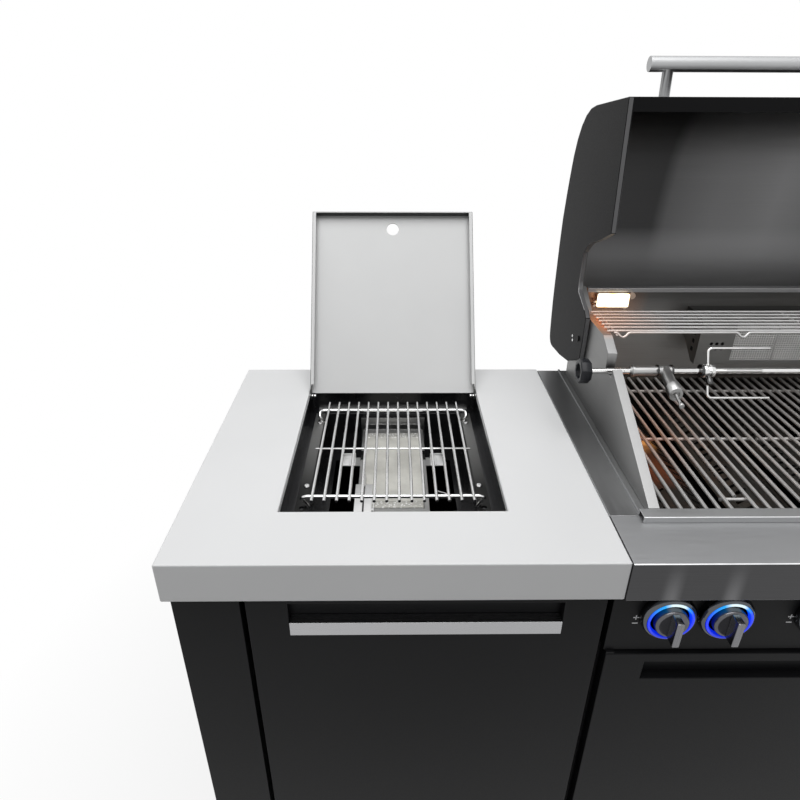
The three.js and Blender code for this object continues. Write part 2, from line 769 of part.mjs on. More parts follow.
// The drip tray slides out through the back of the grill cabinet, on two rails
function makeGrillCabinet() {
  const left = grillLeft - frontGap;
  const right = grillRight - frontGap;
  const panelBottom = carcassTop - panelHeight;
  const railBottom = panelBottom - boardThickness - sheet;
  let carcass = join(
    block(left, left + boardThickness, carcassFront, carcassBack, carcassBottom, carcassTop),
    block(right - boardThickness, right, carcassFront, carcassBack, carcassBottom, carcassTop),
    block(left, right, carcassBack - boardThickness, carcassBack, carcassBottom, carcassTop),
    block(left, right, carcassFront, carcassBack, carcassBottom, carcassBottom + boardThickness),
    block(left, right, carcassFront, carcassFront + boardThickness, railBottom, panelBottom - seat));
  const trayWay = block(grillMiddle - dripHalf - bumper, grillMiddle + dripHalf + bumper,
    carcassBack - 2 * boardThickness, carcassBack + 1, dripRailTop, dripRailTop + dripHeight + bumper);
  carcass = cut(carcass, trayWay);
  const doorTop = panelBottom - frontGap;
  const doorBottom = carcassBottom + frontGap;
  const pinY = frontPlane + frontThickness / 2;
  for (const [pinX, tabLeft] of [[left + hingePinInset + bumper, left + bumper],
    [right - hingePinInset - bumper, right - bumper - tabReach]]) {
    for (const [low, high] of [[carcassBottom, doorBottom - seat], [doorTop + seat, panelBottom - seat]]) {
      const tab = block(tabLeft, tabLeft + tabReach, frontPlane + 1, carcassFront + 1, low, high);
      const bore = bar([pinX, pinY, low - 1], [pinX, pinY, high + 1], hingePinRadius + pinClearance, 12);
      carcass = cut(join(carcass, tab), bore);
    }
  }
  addPiece("grill_cabinet", carcass, blackPaint);
  makeDripRails();

  const footX = baseInset + footRadius;
  addPiece("grill_base_frame", baseFrame(left, right, [left + footX, grillMiddle, right - footX]), blackSteel);

  const doorGap = frontGap / 2;
  const doorGrip = drawerGripWidth - 70;
  for (const [name, x0, x1, pinX] of [
    ["door_left", left + bumper, grillMiddle - frontGap - doorGap / 2, left + hingePinInset + bumper],
    ["door_right", grillMiddle - frontGap + doorGap / 2, right - bumper, right - hingePinInset - bumper]]) {
    const panel = cabinetFront(x0, x1, doorBottom, doorTop, doorGrip);
    const pin = bar([pinX, pinY, carcassBottom + seat], [pinX, pinY, panelBottom - 2 * seat],
      hingePinRadius, 12);
    addPiece(name, join(panel, pin), blackPaint);
  }
}

function makeControlPanel() {
  const left = grillLeft - frontGap;
  const right = grillRight - frontGap;
  const bottom = carcassTop - panelHeight;
  const endReach = carcassFront - seat;
  let panel = join(
    block(left, right, panelPlane, panelPlane + sheet, bottom, carcassTop),
    block(left, left + sheet, panelPlane, endReach, bottom, carcassTop),
    block(right - sheet, right, panelPlane, endReach, bottom, carcassTop));
  const innerLeft = left + boardThickness + 1;
  const innerRight = right - boardThickness - 1;
  for (const z of [bottom, carcassTop - sheet]) {
    panel = join(panel, block(innerLeft, innerRight, panelPlane, panelPlane + panelReturn, z, z + sheet));
  }
  const rimProfile = [[bezelInner, -sheet / 2], [bezelRadius, -sheet / 2], [bezelRadius, bezelDepth * 0.7],
    [bezelRadius * 0.92, bezelDepth], [bezelRadius * 0.76, bezelDepth],
    [bezelInner, bezelDepth * 0.6], [bezelInner, -sheet / 2]];
  for (const x of knobX) {
    panel = join(panel, turnedAlongY(rimProfile, x, panelPlane, knobZ, bezelSides));
    panel = cut(panel, bar([x, panelPlane - 1, knobZ], [x, panelPlane + 2 * sheet, knobZ],
      stemRadius + 1, 8));
  }
  addPiece("control_panel", panel, blackPaint);

  knobX.forEach((x, index) => {
    const base = panelPlane - 1.5;
    const face = base - knobLength;
    const body = turnedAlongY([[0, 0], [knobRadius, 0], [knobRadius, knobLength - 3],
      [knobRadius - 3, knobLength], [0, knobLength]], x, base, knobZ, 16);
    const grip = block(x - gripBarWidth / 2, x + gripBarWidth / 2, face - gripBarLength, face + 1,
      knobZ - knobRadius + 2, knobZ + knobRadius - 2);
    const stem = bar([x, base - 1, knobZ], [x, manifoldY - valveSize - seat, knobZ], stemRadius, 8);
    addPiece(`knob_${index + 1}`, join(body, grip, stem), brushedSteel);
  });
}

function makeFascia() {
  const fascia = join(
    block(grillLeft, grillRight, -sheet, 0, -apronHeight, 0),
    block(grillLeft, grillRight, -sheet, ledgeDepth, -sheet, 0),
    block(grillLeft, grillLeft + sheet, -sheet, ledgeDepth, -apronHeight, 0),
    block(grillRight - sheet, grillRight, -sheet, ledgeDepth, -apronHeight, 0),
    block(grillLeft, grillRight, -sheet, returnWidth, -apronHeight, -apronHeight + sheet));
  addPiece("front_fascia", fascia, brushedSteel);
}

function makeDeck() {
  const front = ledgeDepth + seat;
  const back = moduleDepth - deckBackInset;
  const footReturn = boardThickness + 1;
  let deck = join(
    block(grillLeft, grillRight, boxRear + 1, back, -sheet, 0),
    block(grillLeft, grillRight, back - sheet, back, -apronHeight, 0),
    block(grillLeft, grillRight, back - footReturn, back, -apronHeight, -apronHeight + sheet));
  const strip = join(
    block(grillLeft, grillLeft + deckStrip, front, back, -sheet, 0),
    block(grillLeft, grillLeft + sheet, front, back, -apronHeight, 0),
    block(grillLeft, grillLeft + footReturn, front, back, -apronHeight, -apronHeight + sheet),
    block(grillLeft + ridgeInset, grillLeft + ridgeInset + ridgeWidth, boxFront + sheet + seat,
      back, -sheet, ridgeHeight));
  deck = join(deck, strip, mirrored(strip, grillMiddle));
  addPiece("grill_deck", deck, brushedSteel);
}

function makeFirebox() {
  const innerHalf = grillWidth / 2 - boxInset;
  const outerHalf = innerHalf + sheet;
  const rimTop = seat + sheet;
  const outline = (half, floor, side) => [
    [grillMiddle - half, rimTop], [grillMiddle - half, -side], [grillMiddle - boxFloorHalf, -floor],
    [grillMiddle + boxFloorHalf, -floor], [grillMiddle + half, -side], [grillMiddle + half, rimTop]];
  const outside = alongY(outline(outerHalf, boxFloorDrop + sheet, boxSideDrop + sheet), boxFront, boxRear);
  const insideShape = outline(innerHalf, boxFloorDrop, boxSideDrop);
  insideShape[0][1] += sheet;
  insideShape[5][1] += sheet;
  const inside = alongY(insideShape, boxFront + sheet, boxRear - sheet);
  let box = cut(outside, inside);
  const rimHalf = innerHalf + rimWidth;
  const rim = cut(
    block(grillMiddle - rimHalf, grillMiddle + rimHalf, boxFront + sheet, boxRear + 6, seat, rimTop),
    block(grillMiddle - innerHalf, grillMiddle + innerHalf, 0, boxRear - sheet, 0, 2 * rimTop));
  const railLeft = grillLeft + railInset;
  const railRight = grillRight - railInset;
  const rail = join(
    block(railLeft, railRight, railFront, railFront + sheet, seat, railTop),
    block(railLeft, railRight, railFront, boxFront + sheet, railTop - sheet, railTop),
    block(railLeft, railRight, boxFront, boxFront + sheet, seat, railTop));
  const grateTop = rodZ - rodRadius - seat;
  const supports = join(
    block(grillMiddle - innerHalf, grillMiddle + innerHalf, boxFront, boxFront + sheet + grateLedge,
      grateTop - sheet, grateTop),
    block(grillMiddle - innerHalf, grillMiddle + innerHalf, boxRear - sheet - grateLedge, boxRear,
      grateTop - sheet, grateTop),
    block(grillMiddle - innerHalf, grillMiddle + innerHalf, boxFront, boxFront + sheet + tamerLedge,
      -tamerLedgeDrop - sheet, -tamerLedgeDrop),
    block(grillMiddle - innerHalf, grillMiddle + innerHalf, boxRear - sheet - tamerLedge, boxRear,
      -tamerLedgeDrop - sheet, -tamerLedgeDrop));
  box = join(box, rim, rail, supports);
  for (const x of burnerX) {
    box = cut(box, bar([x, boxFront - 1, tubeZ], [x, boxFront + 2 * sheet, tubeZ],
      tubeRadius + tubeHoleClearance, 12));
  }
  const slot = block(grillMiddle - boxFloorHalf + 5, grillMiddle + boxFloorHalf - 5, dripFront + 40,
    boxRear - 100, -boxFloorDrop - 2 * sheet, -boxFloorDrop + 1);
  addPiece("firebox", cut(box, slot), darkSteel);
}

function makeWalls() {
  const outer = grillLeft + wallInset;
  const inner = outer + wallThickness;
  const front = boxFront + sheet + seat;
  const back = boxRear - 0.5;
  const profile = (drop, foot) => [
    [front + drop, foot], [front + drop, railTop - drop], [wallSlopeEnd, rackShelf - drop],
    [wallFlatEnd, rackShelf - drop], [wallFlatEnd + 3 * wallDip, rackShelf - wallDip - drop],
    [back - drop, wallTop - drop], [back - drop, foot]];
  let wall = cut(alongX(profile(0, seat), outer, inner),
    alongX(profile(sheet, seat - sheet), outer + sheet, inner - sheet));
  const notchFoot = spitZ - spitRadius - spitClearance;
  const notchHalf = spitNotch / 2;
  const lining = alongX(profile(0, seat), outer, inner).intersect(block(outer, inner,
    spitY - notchHalf - sheet, spitY + notchHalf + sheet, notchFoot - sheet, wallTop));
  wall = join(wall, lining);
  const notch = block(outer - 1, inner + 1, spitY - notchHalf, spitY + notchHalf, notchFoot, wallTop);
  const bore = bar([outer - 1, hoodPivotY, hoodPivotZ], [outer + 2 * sheet, hoodPivotY, hoodPivotZ],
    boltRadius + boltClearance, 16);
  wall = cut(wall, notch, bore);
  addPiece("side_wall_left", wall, brushedSteel);
  addPiece("side_wall_right", mirrored(wall, grillMiddle), brushedSteel);

  const railLeft = inner + seat;
  const railRight = 2 * grillMiddle - railLeft;
  const backWall = join(
    block(outer, 2 * grillMiddle - outer, boxRear, boxRear + sheet, 2 * seat + sheet, wallTop),
    block(railLeft, railRight, boxRear - backRailDepth, boxRear + sheet, wallTop - sheet, wallTop),
    block(railLeft, railRight, boxRear - backRailDepth, boxRear - backRailDepth + sheet,
      wallTop - backRailFace, wallTop));
  addPiece("back_wall", backWall, brushedSteel);
}

// Manifold, valves and burner tubes, joined as one gas train
function makeBurners() {
  let train = bar([knobX[0] - valveSize, manifoldY, knobZ],
    [knobX[knobX.length - 1] + 2 * valveSize, manifoldY, knobZ], manifoldRadius, 8);
  const half = valveSize / 2;
  for (const x of knobX) {
    train = join(train, block(x - half, x + half, manifoldY - valveSize, manifoldY, knobZ - half, knobZ + half));
  }
  for (const x of burnerX) {
    train = join(train,
      block(x - half, x + half, manifoldY - half, manifoldY + half, knobZ, tubeZ + half),
      bar([x, manifoldY, tubeZ], [x, tubeRear, tubeZ], tubeRadius, 8));
  }
  addPiece("burner_train", train, darkSteel);

  const foot = -tamerLedgeDrop + seat;
  const y0 = boxFront + sheet + tamerFrontGap;
  const y1 = boxRear - sheet - tamerFrontGap;
  burnerX.forEach((x, index) => {
    const under = tamerRise - sheet;
    const slope = (tamerWidth - tamerTop) / 2 / tamerRise;
    const foldedRoof = [[x - tamerWidth / 2, foot], [x - tamerTop / 2, foot + tamerRise],
      [x + tamerTop / 2, foot + tamerRise], [x + tamerWidth / 2, foot],
      [x + tamerTop / 2 + slope * under, foot], [x + tamerTop / 2, foot + under],
      [x - tamerTop / 2, foot + under], [x - tamerTop / 2 - slope * under, foot]];
    let tamer = alongY(foldedRoof, y0, y1);
    const pitch = (y1 - y0) / (tamerSlotPairs + 1);
    for (let pair = 1; pair <= tamerSlotPairs; pair += 1) {
      for (const side of [-1, 1]) {
        const slotX = x + side * tamerSlotSpread;
        const slotY = y0 + pair * pitch + side * tamerSlotWidth / 2;
        tamer = cut(tamer, block(slotX - tamerSlotLength / 2, slotX + tamerSlotLength / 2,
          slotY - tamerSlotWidth / 2, slotY + tamerSlotWidth / 2, foot + 1, foot + 2 * tamerRise));
      }
    }
    addPiece(`flame_tamer_${index + 1}`, tamer, darkSteel);
  });
}

// One section of the cooking grate: rods front to back on cross rods, with a slot for a lifter
function grateSection(firstX, count) {
  const y0 = boxFront + sheet + rodFrontGap;
  const y1 = boxRear - sheet - rodFrontGap;
  const crossZ = rodZ - crossRodDrop;
  const slotIndex = (count - 1) / 2;
  const lastX = firstX + (count - 1) * rodPitch;
  let section = null;
  for (let index = 0; index < count; index += 1) {
    const x = firstX + index * rodPitch;
    const start = index === slotIndex ? liftBarY : y0;
    const rod = bar([x, start, rodZ], [x, y1, rodZ], rodRadius, 6);
    section = section ? section.add(rod) : rod;
  }
  for (const y of [crossRodMiddle, crossRodRear]) {
    section = section.add(bar([firstX - rodRadius, y, crossZ], [lastX + rodRadius, y, crossZ], rodRadius, 6));
  }
  const liftX = firstX + slotIndex * rodPitch;
  const lift = bar([liftX - rodPitch - rodRadius, liftBarY, crossZ],
    [liftX + rodPitch + rodRadius, liftBarY, crossZ], rodRadius, 6);
  return section.add(lift);
}

function makeGrates() {
  const middleReach = (middleGrateRods - 1) / 2 * rodPitch;
  const outerReach = middleReach + outerGrateRods * rodPitch;
  addPiece("cooking_grate_left", grateSection(grillMiddle - outerReach, outerGrateRods), brightSteel);
  addPiece("cooking_grate_middle", grateSection(grillMiddle - middleReach, middleGrateRods), brightSteel);
  addPiece("cooking_grate_right",
    grateSection(grillMiddle + middleReach + rodPitch, outerGrateRods), brightSteel);
}

function makeRearBurner() {
  const left = grillMiddle - rearBurnerHalf;
  const right = grillMiddle + rearBurnerHalf;
  const back = boxRear - seat;
  const heelRise = back - rearBurnerHeel - rearBurnerFront - rearBurnerFoot;
  const outline = [[rearBurnerFront, rearBurnerBottom], [rearBurnerFront + rearBurnerFoot, rearBurnerBottom],
    [back - rearBurnerHeel, rearBurnerBottom + heelRise * 0.8], [back, rearBurnerBottom + heelRise * 0.8],
    [back, rearBurnerTop], [rearBurnerFront, rearBurnerTop]];
  const pocketLow = rearBurnerBottom + meshMargin;
  const pocketHigh = rearBurnerTop - meshMargin;
  const meshLeft = left + rearEndBox;
  const meshRight = right - rearEndBox;
  let housing = cut(alongX(outline, left, right),
    block(meshLeft, meshRight, rearBurnerFront - 1, rearBurnerFront + meshPocket, pocketLow + 12, pocketHigh),
    block(meshLeft, meshRight, rearBurnerFront - 1, rearBurnerFront + rearBurnerFoot / 2,
      pocketLow, pocketHigh));
  addPiece("rear_burner", housing, darkSteel);

  const x0 = meshLeft + seat;
  const x1 = meshRight - seat;
  const z0 = pocketLow + seat;
  const z1 = pocketHigh - seat;
  const y0 = rearBurnerFront + meshRecess;
  let mesh = block(x0, x1, y0, y0 + sheet, z0, z1);
  const columnPitch = (x1 - x0 - meshWire) / meshColumns;
  const rowPitch = (z1 - z0 - meshWire) / meshRows;
  for (let column = 0; column < meshColumns; column += 1) {
    for (let row = 0; row < meshRows; row += 1) {
      const holeX = x0 + meshWire + column * columnPitch;
      const holeZ = z0 + meshWire + row * rowPitch;
      mesh = cut(mesh, block(holeX, holeX + columnPitch - meshWire, y0 - 1, y0 + 2 * sheet,
        holeZ, holeZ + rowPitch - meshWire));
    }
  }
  addPiece("rear_burner_mesh", mesh, brightSteel);
}

function makeLamps() {
  const top = wallTop - lampDrop;
  const back = boxRear - seat;
  const left = grillLeft + lampInset;
  const chamfer = 5;
  const outline = [[left + chamfer, top - lampHeight], [left + lampWidth - chamfer, top - lampHeight],
    [left + lampWidth, top - lampHeight + chamfer], [left + lampWidth, top - chamfer],
    [left + lampWidth - chamfer, top], [left + chamfer, top], [left, top - chamfer],
    [left, top - lampHeight + chamfer]];
  const lamp = cut(alongY(outline, back - lampDepth, back),
    block(left + 4, left + lampWidth - 4, back - lampDepth - 1, back - lampDepth + 3,
      top - lampHeight + 4, top - 4));
  addPiece("lamp_left", lamp, lampGlass);
  addPiece("lamp_right", mirrored(lamp, grillMiddle), lampGlass);
}

function makeWarmingRack() {
  const wallOuter = grillLeft + wallInset;
  const wallInner = wallOuter + wallThickness;
  const left = wallInner - rackOverhang;
  const right = 2 * grillMiddle - left;
  const z = rackShelf + seat + rackRodRadius;
  let rack = null;
  for (let index = 0; index < rackRodCount; index += 1) {
    const y = rackFront + 6 + index * (rackPitch - 1);
    const rod = bar([left, y, z], [right, y, z], rackRodRadius, 6);
    rack = rack ? rack.add(rod) : rod;
  }
  const frontY = rackFront - rackRodRadius;
  const crossZ = z - 2 * rackRodRadius + 1;
  const rackBack = rackFront + 6 + (rackRodCount - 1) * (rackPitch - 1) + rackRodRadius;
  const crossX = [wallInner + rackCrossInset, grillMiddle, 2 * grillMiddle - wallInner - rackCrossInset];
  for (const x of crossX) {
    rack = rack.add(bar([x, frontY - rackRodRadius, crossZ], [x, rackBack, crossZ], rackRodRadius, 6));
  }
  const frontCorners = [[crossX[0] - 4, frontY, z]];
  for (const offset of rackHookOffsets) {
    const x = grillMiddle + offset;
    if (x - rackHookHalf > crossX[0] + 6 && x + rackHookHalf < crossX[2] - 6) {
      frontCorners.push([x - rackHookHalf, frontY, z], [x, frontY - 6, z - rackHookRise],
        [x + rackHookHalf, frontY, z]);
    }
  }
  frontCorners.push([crossX[2] + 4, frontY, z]);
  rack = rack.add(bentWire(frontCorners, rackRodRadius, 3, 6, 1));
  addPiece("warming_rack", rack, brightSteel);
}

// A fork: a collar on the rod, two bent tines, a tongue along the rod and a thumb screw.
// direction is +1 or -1 along X
function spitFork(startX, direction) {
  const endX = startX + direction * forkCollarLength;
  let fork = bar([startX, spitY, spitZ], [endX, spitY, spitZ], forkCollarRadius, 14);
  const rootX = startX + direction * forkCollarLength / 2;
  for (const turn of [forkTurn, forkTurn + 180]) {
    const angle = THREE.MathUtils.degToRad(turn);
    const dy = Math.cos(angle);
    const dz = Math.sin(angle);
    const corners = [
      [rootX, spitY + dy * (spitRadius + 3), spitZ + dz * (spitRadius + 3)],
      [rootX, spitY + dy * forkRadius, spitZ + dz * forkRadius],
      [rootX + direction * tineLength, spitY + dy * forkRadius, spitZ + dz * forkRadius]];
    fork = fork.add(bentWire(corners, tineRadius, tineBend, 6, 2));
  }
  const side = THREE.MathUtils.degToRad(forkTurn + 90);
  const tongueY = spitY + Math.cos(side) * tongueOffset;
  const tongueZ = spitZ + Math.sin(side) * tongueOffset;
  fork = fork.add(bar([rootX, tongueY, tongueZ],
    [rootX + direction * tongueLength, tongueY, tongueZ], tineRadius, 6));
  const screwAngle = THREE.MathUtils.degToRad(screwTurn);
  const outward = (distance) => [rootX, spitY + Math.cos(screwAngle) * distance,
    spitZ + Math.sin(screwAngle) * distance];
  const screw = bar(outward(spitRadius + 3), outward(forkCollarRadius + screwLength), screwRadius, 8);
  const bore = bar([startX - direction, spitY, spitZ], [endX + direction, spitY, spitZ],
    spitRadius + seat, 12);
  return cut(fork.add(screw), bore);
}

function makeSpit() {
  const bracketX = grillRight - bracketInset;
  const motorX = bracketX + bracketThickness;
  const rodEnd = motorX + socketDepth - 1;
  const handleEnd = spitHandleStart + spitHandleLength;
  const web = spitHandleStart + spitHandleRecess + sheet;
  addPiece("spit_rod", bar([web + seat, spitY, spitZ], [rodEnd, spitY, spitZ], spitRadius, 12), brightSteel);

  const grip = bar([spitHandleStart, spitY, spitZ], [handleEnd, spitY, spitZ], spitHandleRadius, 8);
  const recess = bar([spitHandleStart - 1, spitY, spitZ],
    [spitHandleStart + spitHandleRecess, spitY, spitZ], spitHandleRadius * 0.72, 16);
  const bore = bar([web, spitY, spitZ], [handleEnd + 1, spitY, spitZ], spitRadius + seat, 12);
  addPiece("spit_handle", cut(grip, recess, bore), blackPlastic);

  const sleeve = bar([sleeveStart, spitY, spitZ], [sleeveStart + sleeveLength, spitY, spitZ],
    sleeveRadius, 12);
  const armX = sleeveStart + sleeveLength - weightInset;
  const turn = THREE.MathUtils.degToRad(weightAngle);
  const along = (distance) => [armX, spitY + Math.cos(turn) * distance, spitZ + Math.sin(turn) * distance];
  const weight = join(sleeve,
    bar(along(spitRadius + 2), along(weightArm), armRadius, 8),
    bar(along(spitRadius + 2), along(weightCap + 1), weightRadius, 12),
    bar(along(weightCap), along(flareEnd), flareRadius, 14),
    bar(along(weightArm - armNut), along(weightArm), armNut, 6));
  const sleeveBore = bar([sleeveStart - 1, spitY, spitZ], [sleeveStart + sleeveLength + 1, spitY, spitZ],
    spitRadius + seat, 12);
  addPiece("spit_counterweight", cut(weight, sleeveBore), brushedSteel);

  addPiece("spit_fork_left", spitFork(forkStart, 1), brightSteel);
  addPiece("spit_fork_right", spitFork(2 * grillMiddle - forkStart, -1), brightSteel);

  const plate = join(
    block(bracketX, bracketX + bracketThickness, spitY - motorDepth / 2, spitY + motorDepth / 2,
      seat, spitZ + motorHeight / 2),
    block(bracketX, grillRight - 2, spitY - motorDepth / 2, spitY + motorDepth / 2,
      seat, seat + bracketThickness));
  const motor = block(motorX - 1, motorX + motorWidth, spitY - motorDepth / 2, spitY + motorDepth / 2,
    spitZ - motorHeight / 2 + 10, spitZ + motorHeight / 2);
  const socket = bar([bracketX - 1, spitY, spitZ], [motorX + socketDepth, spitY, spitZ],
    spitRadius + seat, 12);
  addPiece("spit_motor", cut(join(plate, motor), socket), blackSteel);
}

function curvePoints(start, control, end, steps) {
  const curve = new THREE.QuadraticBezierCurve(
    new THREE.Vector2(...start), new THREE.Vector2(...control), new THREE.Vector2(...end));
  return curve.getPoints(steps).map((point) => [point.x, point.y]);
}

function makeHood() {
  const left = grillLeft + hoodInset;
  const right = grillRight - hoodInset;
  const front = [[hoodFront, hoodMouth], ...curvePoints(hoodFrontTop, hoodBrowControl, hoodBrow, 6)];
  const crownCurve = new THREE.SplineCurve([hoodBrow, ...hoodCrown].map(([y, z]) => new THREE.Vector2(y, z)));
  const crown = crownCurve.getPoints(8).slice(1).map((point) => [point.x, point.y]);
  const rear = curvePoints(hoodCrown[hoodCrown.length - 1], hoodRearControl, hoodRear, 5).slice(1);
  const outline = [...front, ...crown, ...rear, hoodRearFoot, ...hoodLobe, ...hoodNotch,
    hoodNotchFoot];
  const cavity = alongX(insetOutline(outline, hoodSheet), left + hoodSheet, right - hoodSheet);
  const mouthFront = hoodFront + hoodLip;
  const mouthBack = hoodRearFoot[0] + hoodLip;
  const mouthFloor = hoodMouth - hoodLip;
  const mouth = alongX([[mouthFront, mouthFloor], [mouthFront, handleZ], [hoodPivotY, hoodRearFoot[1]],
    [mouthBack, hoodRearFoot[1]], [mouthBack, mouthFloor]], left + hoodFlange, right - hoodFlange);
  const boltHoles = [[left - 1, left + 2 * hoodSheet], [right - 2 * hoodSheet, right + 1]].map(
    ([x0, x1]) => bar([x0, hoodPivotY, hoodPivotZ], [x1, hoodPivotY, hoodPivotZ],
      boltRadius + boltClearance, 12));
  addPiece("hood_shell", cut(alongX(outline, left, right), cavity, mouth, ...boltHoles),
    hoodPaint, hoodGroup);

  const frontSlope = (hoodFrontTop[0] - hoodFront) / (hoodFrontTop[1] - hoodMouth);
  const faceY = hoodFront + frontSlope * (handleZ - postRadius - hoodMouth) - seat;
  const barY = hoodFront - handleReach;
  let handle = bar([grillMiddle - handleHalf, barY, handleZ], [grillMiddle + handleHalf, barY, handleZ],
    handleRadius, 16);
  for (const side of [-1, 1]) {
    const x = grillMiddle + side * (handleHalf - handlePostInset);
    handle = handle.add(bar([x, barY, handleZ], [x, faceY, handleZ], postRadius, 12));
  }
  addPiece("hood_handle", handle, brightSteel, hoodGroup);

  const bolt = join(
    bar([left - seat, hoodPivotY, hoodPivotZ],
      [grillLeft + wallInset + wallThickness - 2 * sheet, hoodPivotY, hoodPivotZ], boltRadius, 16),
    bar([left - seat - boltHeadHeight, hoodPivotY, hoodPivotZ], [left - seat, hoodPivotY, hoodPivotZ],
      boltHeadRadius, 16));
  addPiece("hood_bolt_left", bolt, blackSteel);
  addPiece("hood_bolt_right", mirrored(bolt, grillMiddle), blackSteel);
}

function makeDripTray() {
  const left = grillMiddle - dripHalf;
  const right = grillMiddle + dripHalf;
  const bottom = dripRailTop + seat;
  const plateY = carcassBack + seat;
  let tray = join(
    block(left, right, dripFront, plateY, bottom, bottom + sheet),
    ring(left, right, dripFront, plateY + sheet, bottom, bottom + dripHeight, sheet),
    block(left - dripPlateMargin, right + dripPlateMargin, plateY, plateY + sheet,
      bottom - dripPlateMargin, bottom + dripHeight + dripPlateMargin));
  const pull = [[grillMiddle - dripPull, plateY + 1, bottom + dripHeight / 2],
    [grillMiddle - dripPull, plateY + 28, bottom + dripHeight / 2],
    [grillMiddle + dripPull, plateY + 28, bottom + dripHeight / 2],
    [grillMiddle + dripPull, plateY + 1, bottom + dripHeight / 2]];
  tray = tray.add(bentWire(pull, 4, 10, 8, 3));
  addPiece("drip_tray", tray, darkSteel);
}

makeSideWorktop();
makeSideCabinet();
makeDrawer();
makeBurnerWell();
makeSearGrate();
makeSearBurner();
makeLid();
makeGrillCabinet();
makeControlPanel();
makeFascia();
makeDeck();
makeFirebox();
makeWalls();
makeBurners();
makeGrates();
makeRearBurner();
makeLamps();
makeWarmingRack();
makeSpit();
makeHood();
makeDripTray();

// The origin is the middle of the footprint on the floor
const extent = new THREE.Box3().setFromObject(model, true);
const middle = extent.getCenter(new THREE.Vector3());
model.position.set(-middle.x, -middle.y, -extent.min.z);

const island = new THREE.Group();
island.add(model);

export default island;
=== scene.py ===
"""Dresses the outdoor kitchen island: soft sheet edges, wires, grates, lit knobs, lamps and finishes."""

import json
import math

import bmesh
import bpy
from mathutils import Matrix, Vector

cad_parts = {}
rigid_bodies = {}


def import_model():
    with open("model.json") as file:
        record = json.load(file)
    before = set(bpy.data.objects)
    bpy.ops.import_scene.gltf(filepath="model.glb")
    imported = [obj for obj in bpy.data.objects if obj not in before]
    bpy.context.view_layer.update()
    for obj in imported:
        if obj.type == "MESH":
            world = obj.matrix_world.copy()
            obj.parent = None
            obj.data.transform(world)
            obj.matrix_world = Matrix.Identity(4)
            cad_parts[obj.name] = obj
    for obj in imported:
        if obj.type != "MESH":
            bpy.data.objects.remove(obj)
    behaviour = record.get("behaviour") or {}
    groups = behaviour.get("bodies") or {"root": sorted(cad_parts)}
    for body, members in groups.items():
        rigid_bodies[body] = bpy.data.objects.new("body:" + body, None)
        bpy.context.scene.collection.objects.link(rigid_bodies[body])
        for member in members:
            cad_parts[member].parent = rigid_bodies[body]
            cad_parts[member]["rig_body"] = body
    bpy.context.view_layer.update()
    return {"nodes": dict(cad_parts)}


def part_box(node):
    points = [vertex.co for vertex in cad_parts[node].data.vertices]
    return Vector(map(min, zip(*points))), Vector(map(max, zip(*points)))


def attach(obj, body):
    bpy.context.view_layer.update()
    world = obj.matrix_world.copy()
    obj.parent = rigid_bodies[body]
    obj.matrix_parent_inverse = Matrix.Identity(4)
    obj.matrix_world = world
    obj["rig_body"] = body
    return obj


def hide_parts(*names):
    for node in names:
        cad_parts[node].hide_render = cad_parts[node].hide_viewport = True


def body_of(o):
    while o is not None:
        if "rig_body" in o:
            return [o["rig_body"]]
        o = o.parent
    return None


bl_info = {
    "name": "Outdoor Kitchen Island",
    "version": (1, 0, 0),
    "blender": (4, 5, 0),
    "location": "View3D > Sidebar > Kitchen Island",
    "description": "Builds the finished surfaces and small parts of an outdoor kitchen island",
    "category": "Object",
}

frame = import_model()
MM = 0.001
SIDE_LOW, SIDE_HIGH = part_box("side_worktop")
HOME = Vector(((SIDE_LOW.x + SIDE_HIGH.x) / 2, SIDE_LOW.y, SIDE_HIGH.z))
KNOBS = [f"knob_{number}" for number in range(1, 8)]
SIDES = ("left", "right")
CREASE = 32  # faces that meet at more degrees than this keep a sharp edge
WELD = 1e-6  # metres
UV_REACH = 50  # the radius in mm at which the turning UV map's V is 1
ALONG_X, ALONG_Y, UP = (1, 0, 0), (0, 1, 0), (0, 0, 1)


def at(x, y, z):
    """A point in metres from millimetres right of the side module, back from its front and above its top."""
    return HOME + Vector((x, y, z)) * MM


def box_mm(node):
    """A node's box in the millimetres that at() takes."""
    low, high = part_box(node)
    return (low - HOME) / MM, (high - HOME) / MM


def middle_mm(node):
    """The middle of a node's box, in the same millimetres."""
    return [(first + last) / 2 for first, last in zip(*box_mm(node))]


def centre_mm(face):
    """A face's middle, in the same millimetres."""
    return (face.calc_center_median() - HOME) / MM


def flanks(near, far):
    """The two spans across, left and right of the side module's middle."""
    return [sorted((side * near, side * far)) for side in (-1, 1)]


# Nodes and finishes


def feed(tree, socket, value):
    """Links a node's first output or an output to a socket, or sets the socket to a plain value."""
    if isinstance(value, bpy.types.Node):
        value = value.outputs[0]
    if isinstance(value, bpy.types.NodeSocket):
        tree.links.new(value, socket)
    else:
        socket.default_value = (*value[:3], 1.0) if socket.type == "RGBA" else value


def new_node(tree, kind, inputs=None, **settings):
    """A node with its settings, and with each named input fed."""
    made = tree.nodes.new(kind)
    for key, value in settings.items():
        setattr(made, key, value)
    for socket, value in (inputs or {}).items():
        feed(tree, made.inputs[socket], value)
    return made


